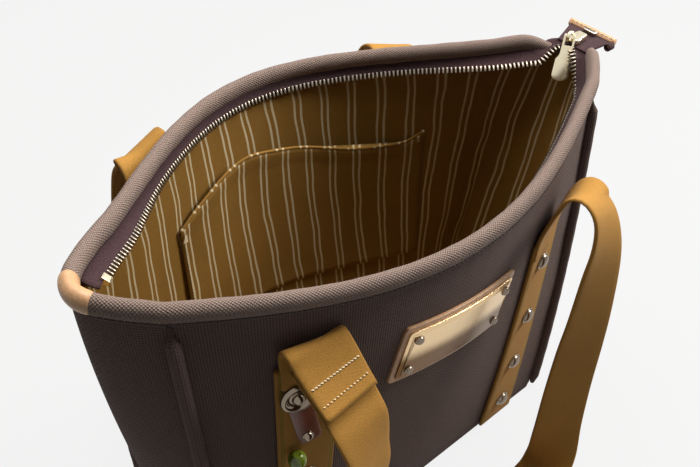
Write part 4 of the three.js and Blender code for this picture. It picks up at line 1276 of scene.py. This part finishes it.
def plate_block(name, width, height, thickness, corner, steps):
    """A plate from a cube: cut across so that it can bend, with rounded corners and stepped edges."""
    deselect()
    bpy.ops.mesh.primitive_cube_add(size=1)
    obj = bpy.context.object
    obj.name = name
    obj.scale = (width, height, thickness)
    obj.location = (0, 0, thickness / 2)
    bpy.ops.object.transform_apply(location=True, rotation=True, scale=True)
    bpy.ops.object.mode_set(mode="EDIT")
    bpy.ops.mesh.select_mode(type="EDGE")
    bpy.ops.mesh.select_all(action="DESELECT")
    bm = bmesh.from_edit_mesh(obj.data)
    for edge in bm.edges:
        a, b = edge.verts
        edge.select_set(abs(a.co.z - b.co.z) > thickness / 2)
    bmesh.update_edit_mesh(obj.data)
    bpy.ops.mesh.bevel(offset=corner, segments=4)
    for inset, rise in steps:
        pick_faces(obj, lambda c, n: n.z > 0.9 and c.length < min(width, height) * 0.1 + thickness * 2)
        bpy.ops.mesh.inset(thickness=inset, depth=rise)
    bpy.ops.mesh.select_all(action="SELECT")
    for k in range(1, 16):
        x = mix(-width / 2, width / 2, k / 16)
        bpy.ops.mesh.select_all(action="SELECT")
        bpy.ops.mesh.bisect(plane_co=(x, 0, 0), plane_no=(1, 0, 0))
    bpy.ops.object.mode_set(mode="OBJECT")
    bevel = obj.modifiers.new("Bevel", "BEVEL")
    bevel.width = 0.3
    bevel.segments = 2
    bevel.limit_method = "ANGLE"
    bevel.angle_limit = math.radians(50)
    bpy.ops.object.modifier_apply(modifier="Bevel")
    bpy.ops.object.shade_smooth_by_angle(angle=math.radians(35))
    deselect()
    return obj


class BAG_OT_plate(Operator):
    """Blank plate, its leather backing and its rivets"""

    bl_idname = "bag.plate"
    bl_label = "Plate"

    def execute(self, context):
        patch = plate_block("plate_backing", 100, 46, 2.0, 3.5, [(1.2, 0.25)])
        bent_on_wall(patch, 1.4)
        settle(patch, "bag", "tan_leather", finish_of("leather"), "plate_leather_patch")
        plate = plate_block("brass_plate", 93, 39, 0.9, 2.5, [(0.9, 0.0), (0.5, 0.45), (1.0, 0.0), (0.4, 0.45)])
        bent_on_wall(plate, 3.75)
        settle(plate, "bag", "plate", finish_of("brass"), "blank_plate")
        template = domed_head("rivet", 3.2, 2.5)
        corners = (("left", -1, 1), ("right", 1, 1), ("left", -1, -1), ("right", 1, -1))
        for name, across, up in corners:
            level = "upper" if up > 0 else "lower"
            seat = wall_frame(FRONT, *plate_place(across * 39, up * 12.5), 5.5)
            rivet = twin(template, f"{level}_{name}_rivet", seat)
            settle(rivet, "bag", "studs", finish_of("nickel"), f"plate_rivet_{level}_{name}")
        bpy.data.objects.remove(template)
        return {"FINISHED"}


TAPE_EDGE = {FRONT: (8.5, 13.5), BACK: (12.0, 9.6)}


class BAG_OT_zip(Operator):
    """Zip tapes, teeth and top stops"""

    bl_idname = "bag.zip"
    bl_label = "Zip"

    def execute(self, context):
        for side, name in ((FRONT, "front"), (BACK, "back")):
            roots, edges = self.lines(side)
            self.tape(name, roots, edges)
            self.teeth(name, roots, edges)
        return {"FINISHED"}

    def lines(self, side):
        """The tape's sewn line and its toothed edge, from the left tip to the slider."""
        inset, drop = TAPE_EDGE[side]
        outer = rim_path(side, 13.7, 24, 3.1, 3.8, 3.3)
        inner = []
        for point, out in rim_path(side, 13.7, 24, step=3.3):
            ends = smooth((abs(point.x) - 100) / 70) if side == BACK else 1
            hang = Vector((0, 0, mix(9.8, drop, ends)))
            inner.append((point - out * mix(6.4, inset, ends) - hang, out))
        far, near = (-14, -8) if side < 0 else (22, 16)
        root_end = [(183, far, TAIL_Z - 1.5), (188.5, near, TAIL_Z + 0.6)]
        edge_end = [(179.5, 4.5 + side * 8.5, TAIL_Z - 2.5), (185.6, 5.6 + side * 1.6, TAIL_Z + 0.8)]
        count = 150
        made = []
        for line, tail in ((outer, root_end), (inner, edge_end)):
            points = resample([p for p, _ in line] + [Vector(p) for p in tail], 1.0)[1]
            shares = np.linspace(0, len(points) - 1, count)
            index = np.arange(len(points))
            made.append([Vector([np.interp(s, index, points[:, k]) for k in range(3)]) for s in shares])
        return made

    def tape(self, name, roots, edges):
        rings = []
        for k, (root, edge) in enumerate(zip(roots, edges)):
            ahead = roots[min(k + 1, len(roots) - 1)] - roots[max(k - 1, 0)]
            across = edge - root
            face = ahead.cross(across).normalized()
            if face.z < 0:
                face = -face
            sag = [mix(root, edge, i / 5) - face * (0.9 * math.sin(math.pi * i / 5)) for i in range(6)]
            rings.append([p + face * 0.45 for p in sag] + [p - face * 0.45 for p in reversed(sag)])
        width = (edges[60] - roots[60]).length
        us = [width * i / 5 for i in range(6)]
        us = us + us[::-1] + [0]
        tape = loft(f"{name}_tape", rings, us, arc_lengths(roots), swap=True)
        settle(tape, "bag", "zip_tape", finish_of("tape"), f"{name}_zip_tape")

    def teeth(self, name, roots, edges):
        pitch = sizes().tooth_pitch / MM
        _, path = resample(edges, pitch / 8)
        width = [Vector(edges[k] - roots[k]).normalized() for k in range(len(edges))]
        matrices = []
        for k in range(24, len(path) - 4, 8):
            at = Vector(path[k])
            ahead = (Vector(path[min(k + 4, len(path) - 1)]) - Vector(path[k - 4])).normalized()
            across = width[int(k / (len(path) - 1) * (len(width) - 1))]
            across = (across - ahead * across.dot(ahead)).normalized()
            face = ahead.cross(across)
            turn = Matrix((ahead, across, face)).transposed().to_4x4()
            matrices.append(Matrix.Translation(at + across * 0.6) @ turn)
        deselect()
        bpy.ops.mesh.primitive_cube_add(size=1)
        tooth = bpy.context.object
        tooth.scale = (1.25, 3.9, 1.7)
        bpy.ops.object.transform_apply(location=True, rotation=True, scale=True)
        bpy.ops.object.mode_set(mode="EDIT")
        pick_faces(tooth, lambda centre, normal: normal.y > 0.9)
        bpy.ops.mesh.inset(thickness=0.35, depth=0.5)
        bpy.ops.mesh.select_all(action="SELECT")
        bpy.ops.mesh.bevel(offset=0.16, segments=1)
        bpy.ops.object.mode_set(mode="OBJECT")
        teeth = copies(f"{name}_teeth", tooth, matrices[1:])
        settle(teeth, "bag", "zip_teeth", finish_of("teeth"), f"{name}_zip_teeth")
        deselect()
        bpy.ops.mesh.primitive_cube_add(size=1)
        stop = bpy.context.object
        stop.name = f"{name}_stop"
        stop.scale = (4.6, 5.0, 3.2)
        bpy.ops.object.transform_apply(location=True, rotation=True, scale=True)
        bpy.ops.object.mode_set(mode="EDIT")
        pick_faces(stop, lambda centre, normal: abs(normal.z) > 0.9)
        bpy.ops.mesh.inset(thickness=0.7, depth=0.3)
        bpy.ops.object.mode_set(mode="OBJECT")
        place(stop, matrices[0])
        settle(stop, "bag", "zip_brass", finish_of("pale_gold"), f"{name}_zip_top_stop")


def arc(radius, start, end, count):
    angles = [mix(start, end, i / count) for i in range(count + 1)]
    return [(radius * math.cos(a), radius * math.sin(a)) for a in angles]


class BAG_OT_tail(Operator):
    """Zip tail with its leather end, retainer and ring loop"""

    bl_idname = "bag.tail"
    bl_label = "Zip tail"

    def execute(self, context):
        root_x = TIP_X - 5
        end_x = root_x + 24
        outline = [(root_x - 1, -8), (end_x + 1.5, -10), (end_x + 1.5, 25), (root_x - 1, 16)]
        tail = flat_piece("zip_tail_cloth", outline, 1.6, 0.5)
        place(tail, Matrix.Translation((0, 0, TAIL_Z + 0.8)))
        cloth_sizes(tail)
        settle(tail, "bag", "zip_tape", finish_of("tape"), "zip_tail")
        path = [(end_x + 3.2, y, TAIL_Z + 0.8) for y in levels(-11.4, 26.4, 14)]
        leather = band("leather_end", path, [(1, 0, 0)] * len(path), 3.1, 5.4)
        settle(leather, "bag", "tan_leather", finish_of("leather"), "tail_leather")
        places = [((end_x + 1.6, y, TAIL_Z + 3.55), (0, 1, 0), 2.1) for y in levels(-8.5, 23.5, 10)]
        stitches("end_stitches", places, 0.3, "bag", "tan_leather")
        retainer = plate_block("zip_box", 3.5, 10, 2.6, 0.6, [(0.5, 0.3)])
        place(retainer, Matrix.Translation((end_x - 2.25, 6, TAIL_Z + 1.9)))
        settle(retainer, "bag", "zip_teeth", finish_of("teeth"), "zip_retainer")
        circle = arc(2.7, 0, 2 * math.pi, 24)[:-1]
        hole = arc(1.7, 0, 2 * math.pi, 20)[:-1]
        loop = flat_piece("ring_loop", circle, 5.5, 0.3, [hole])
        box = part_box("ring_tab")
        middle = (Vector(box[0]) + Vector(box[1])) / 2 / MM
        place(loop, Matrix.Translation(middle) @ Matrix.Rotation(math.pi / 2, 4, "Y"))
        cloth_sizes(loop)
        settle(loop, "bag", "zip_tape", finish_of("tape"), "ring_tab")
        points = [(x, 0, 0) for x in (-4.2, -2.1, 0, 2.1, 4.2)]
        for i in range(9):
            angle = mix(0.12, -math.pi - 0.12, i / 8)
            points.append((6.5 * math.cos(angle), 0, -2.4 + 8.1 * math.sin(angle)))
        _, smooth_points = resample(points + points[:3], 0.7)
        ring_points = [tuple(p) for p in smooth_points]
        closing = [k for k, p in enumerate(ring_points) if k > 10 and p[2] > -0.02 and p[0] >= -2.1]
        start = closing[0]
        ring = wire("small_ring", ring_points[4:start], 1.05, True)
        place(ring, Matrix.Translation(middle))
        settle(ring, "ring", "ring", finish_of("ring"), "d_ring")
        return {"FINISHED"}


BAIL = (TIP_X - 5 - 0.5 - 2, 6.0, TAIL_Z + 1.6 + 0.3 + 4 + 2)


class BAG_OT_slider(Operator):
    """Zip slider with its bail, and the pull that hangs from it"""

    bl_idname = "bag.slider"
    bl_label = "Slider and pull"

    def execute(self, context):
        half = [(2, 3.6), (3.2, 4.9), (6, 5.2), (8.5, 4.4), (12, 4.1), (15.2, 3.8), (16, 2.8)]
        outline = [(x, -y) for x, y in half] + [(x, y) for x, y in reversed(half)]
        body = flat_piece("slider_body", outline, 3.9, 0.8)
        place(body, Matrix.Translation(Vector(BAIL) + Vector((0, 0, -4))))
        settle(body, "slider", "zip_brass", finish_of("pale_gold"), "zip_slider")
        angles = [math.radians(mix(-35, 305, i / 40)) for i in range(41)]
        hoop = wire("slider_bail", [(3 * math.cos(a), 0, 3 * math.sin(a)) for a in angles], 0.95)
        hoop.scale = (1, 1.5, 1)
        bpy.context.view_layer.update()
        place(hoop, Matrix.Translation(BAIL))
        settle(hoop, "slider", "zip_brass", finish_of("pale_gold"))
        blade = [(4, 1.1), (-4, 1.1), (-4.1, -12.5), (-4.6, -14.5), (-6, -16.5), (-6, -27.5)]
        blade += [(-5.2, -29.4), (-3, -30.6), (0, -31), (3, -30.6), (5.2, -29.4), (6, -27.5)]
        blade += [(6, -16.5), (4.6, -14.5), (4.1, -12.5)]
        eye = [(-2.3, -1.1), (2.3, -1.1), (2.6, -6.4), (-2.6, -6.4)]
        pull = flat_piece("pull_tab", blade, 1.6, 0.35, [eye])
        stand = Matrix(((0, 0, 1, 0), (1, 0, 0, 0), (0, 1, 0, 0), (0, 0, 0, 1)))
        swivel = Matrix.Rotation(math.radians(40), 4, "Z")
        tip = Matrix.Rotation(math.radians(16), 4, "Y")
        lean = Matrix.Rotation(math.radians(8), 4, "Y")
        place(pull, Matrix.Translation(BAIL) @ lean @ swivel @ tip @ stand)
        settle(pull, "pull", "zip_brass", finish_of("pale_gold"), "zip_pull")
        return {"FINISHED"}


class BAG_OT_charm(Operator):
    """Ringed snap, leather tab and bead"""

    bl_idname = "bag.charm"
    bl_label = "Charm"

    def execute(self, context):
        seat = wall_frame(FRONT, -108, 205, CANVAS_FACE + 0.8 + STRAP_THICK + 0.9)
        outline = arc(7, 0, math.pi, 14) + [(-7, -40), (-6, -43), (-4, -44), (4, -44), (6, -43), (7, -40)]
        tab = flat_piece("charm_leather", outline, 1.8, 0.4)
        slant = Matrix.Rotation(math.radians(11), 4, "Z")
        place(tab, seat @ slant @ Matrix.Translation((0, 0, 0.9)))
        settle(tab, "charm", "dark_leather", finish_of("dark_leather"), "charm_tab")
        head = domed_head("snap", 10.4, 4.8, 0.12)
        head = place(head, seat @ Matrix.Translation((0, 0, 2.0)))
        settle(head, "charm", "studs", finish_of("nickel"), "charm_head")
        deselect()
        bpy.ops.mesh.primitive_uv_sphere_add(segments=32, ring_count=20, radius=5.5)
        bead = bpy.context.object
        bead.name = "glossy_bead"
        bpy.ops.object.mode_set(mode="EDIT")
        pick_faces(bead, lambda centre, normal: abs(normal.z) > 0.97)
        bpy.ops.mesh.inset(thickness=0.15, depth=-0.4)
        bpy.ops.object.mode_set(mode="OBJECT")
        bpy.ops.object.shade_smooth()
        turn = Matrix.Rotation(math.pi / 2, 4, "X")
        place(bead, seat @ Matrix.Translation((-1.5, -51.5, 5.05)) @ turn)
        settle(bead, "charm", "bead", finish_of("bead"), "charm_bead")
        small = domed_head("tab_rivet", 3.6, 2.6)
        place(small, seat @ slant @ Matrix.Translation((-1, -38, 1.8)))
        settle(small, "charm", "studs", finish_of("nickel"))
        return {"FINISHED"}


class BAG_OT_stage(Operator):
    """Floor, lights and camera"""

    bl_idname = "bag.stage"
    bl_label = "Stage"

    def execute(self, context):
        deselect()
        bpy.ops.mesh.primitive_plane_add(size=8)
        floor = bpy.context.object
        floor.name = "floor"
        floor.data.materials.append(self.floor_finish())
        self.world(context)
        self.lamp("right_soft_box", (1.15, -0.3, 1.1), (0, 0, 0.15), 0.7, 25.0)
        self.lamp("high_soft_box", (0.1, 0.3, 1.4), (0, 0, 0.15), 0.8, 19.0)
        self.camera(context)
        view = context.scene.view_settings
        view.view_transform = "Standard"
        return {"FINISHED"}

    def floor_finish(self):
        material = bpy.data.materials.new("Pale floor")
        material.use_nodes = True
        nodes, links = material.node_tree.nodes, material.node_tree.links
        nodes.clear()
        seen = nodes.new("ShaderNodeLightPath")
        matt = nodes.new("ShaderNodeBsdfDiffuse")
        matt.inputs["Color"].default_value = (0.35, 0.35, 0.35, 1)
        glow = nodes.new("ShaderNodeEmission")
        glow.inputs["Color"].default_value = (0.98, 0.98, 0.98, 1)
        both = nodes.new("ShaderNodeMixShader")
        part = nodes.new("ShaderNodeMath")
        part.operation = "MULTIPLY"
        part.inputs[1].default_value = 0.86
        out = nodes.new("ShaderNodeOutputMaterial")
        links.new(self.shown_to(nodes, links, seen), part.inputs[0])
        links.new(part.outputs[0], both.inputs[0])
        links.new(matt.outputs[0], both.inputs[1])
        links.new(glow.outputs[0], both.inputs[2])
        links.new(both.outputs[0], out.inputs["Surface"])
        return material

    def shown_to(self, nodes, links, seen):
        """Where the pale background shows: fully to the camera, and partly in metal."""
        gloss = nodes.new("ShaderNodeMath")
        gloss.operation = "MULTIPLY_ADD"
        gloss.use_clamp = True
        gloss.inputs[1].default_value = 0.8
        links.new(seen.outputs["Is Glossy Ray"], gloss.inputs[0])
        links.new(seen.outputs["Is Camera Ray"], gloss.inputs[2])
        return gloss.outputs[0]

    def world(self, context):
        world = context.scene.world or bpy.data.worlds.new("World")
        context.scene.world = world
        world.use_nodes = True
        nodes, links = world.node_tree.nodes, world.node_tree.links
        nodes.clear()
        seen = nodes.new("ShaderNodeLightPath")
        soft = nodes.new("ShaderNodeBackground")
        soft.inputs["Color"].default_value = (1, 0.985, 0.96, 1)
        soft.inputs["Strength"].default_value = 0.06
        shown = nodes.new("ShaderNodeBackground")
        shown.inputs["Color"].default_value = (0.94, 0.94, 0.94, 1)
        shown.inputs["Strength"].default_value = 1.0
        both = nodes.new("ShaderNodeMixShader")
        out = nodes.new("ShaderNodeOutputWorld")
        links.new(self.shown_to(nodes, links, seen), both.inputs[0])
        links.new(soft.outputs[0], both.inputs[1])
        links.new(shown.outputs[0], both.inputs[2])
        links.new(both.outputs[0], out.inputs["Surface"])

    def lamp(self, name, at, aim, size, power):
        light = bpy.data.lights.new(name, "AREA")
        light.shape = "DISK"
        light.size = size
        light.energy = power
        light.color = (1, 0.975, 0.94)
        obj = bpy.data.objects.new(name, light)
        bpy.context.scene.collection.objects.link(obj)
        obj.location = at
        obj.rotation_euler = (Vector(aim) - Vector(at)).to_track_quat("-Z", "Y").to_euler()

    def camera(self, context):
        yaw, pitch, roll = math.radians(43.95), math.radians(41.69), math.radians(3.71)
        level = math.cos(pitch)
        ahead = Vector((math.sin(yaw) * level, math.cos(yaw) * level, -math.sin(pitch)))
        right = Vector((math.cos(yaw), -math.sin(yaw), 0))
        up = right.cross(ahead)
        cos, sin = math.cos(roll), math.sin(roll)
        right, up = right * cos + up * sin, up * cos - right * sin
        data = bpy.data.cameras.new("camera")
        data.sensor_width = 36
        data.lens = 44.47
        data.clip_end = 20
        camera = bpy.data.objects.new("camera", data)
        context.scene.collection.objects.link(camera)
        turn = Matrix((right, up, -ahead)).transposed().to_4x4()
        camera.matrix_world = Matrix.Translation(mm(-290.93, -283.0, 575.62)) @ turn
        context.scene.camera = camera


STEPS = (
    "canvas", "pipings", "rim", "lining", "strips", "handles", "studs",
    "plate", "zip", "tail", "slider", "charm", "stage",
)


class BAG_PT_panel(Panel):
    """Lists the bag's building steps and settings"""

    bl_label = "Canvas shoulder bag"
    bl_space_type = "VIEW_3D"
    bl_region_type = "UI"
    bl_category = "Bag"

    def draw(self, context):
        for step in STEPS:
            self.layout.operator(f"bag.{step}")
        for group in (context.scene.bag_sizes, context.scene.bag_colours):
            for key in group.bl_rna.properties.keys():
                if key not in ("rna_type", "name"):
                    self.layout.prop(group, key)


CLASSES = (
    BagSizes,
    BagColours,
    BAG_OT_canvas,
    BAG_OT_pipings,
    BAG_OT_rim,
    BAG_OT_lining,
    BAG_OT_strips,
    BAG_OT_handles,
    BAG_OT_studs,
    BAG_OT_plate,
    BAG_OT_zip,
    BAG_OT_tail,
    BAG_OT_slider,
    BAG_OT_charm,
    BAG_OT_stage,
    BAG_PT_panel,
)


def register():
    for cls in CLASSES:
        bpy.utils.register_class(cls)
    bpy.types.Scene.bag_sizes = PointerProperty(type=BagSizes)
    bpy.types.Scene.bag_colours = PointerProperty(type=BagColours)


def unregister():
    del bpy.types.Scene.bag_colours
    del bpy.types.Scene.bag_sizes
    for cls in reversed(CLASSES):
        bpy.utils.unregister_class(cls)


def main():
    register()
    for step in STEPS:
        getattr(bpy.ops.bag, step)()


if __name__ == "__main__":
    main()
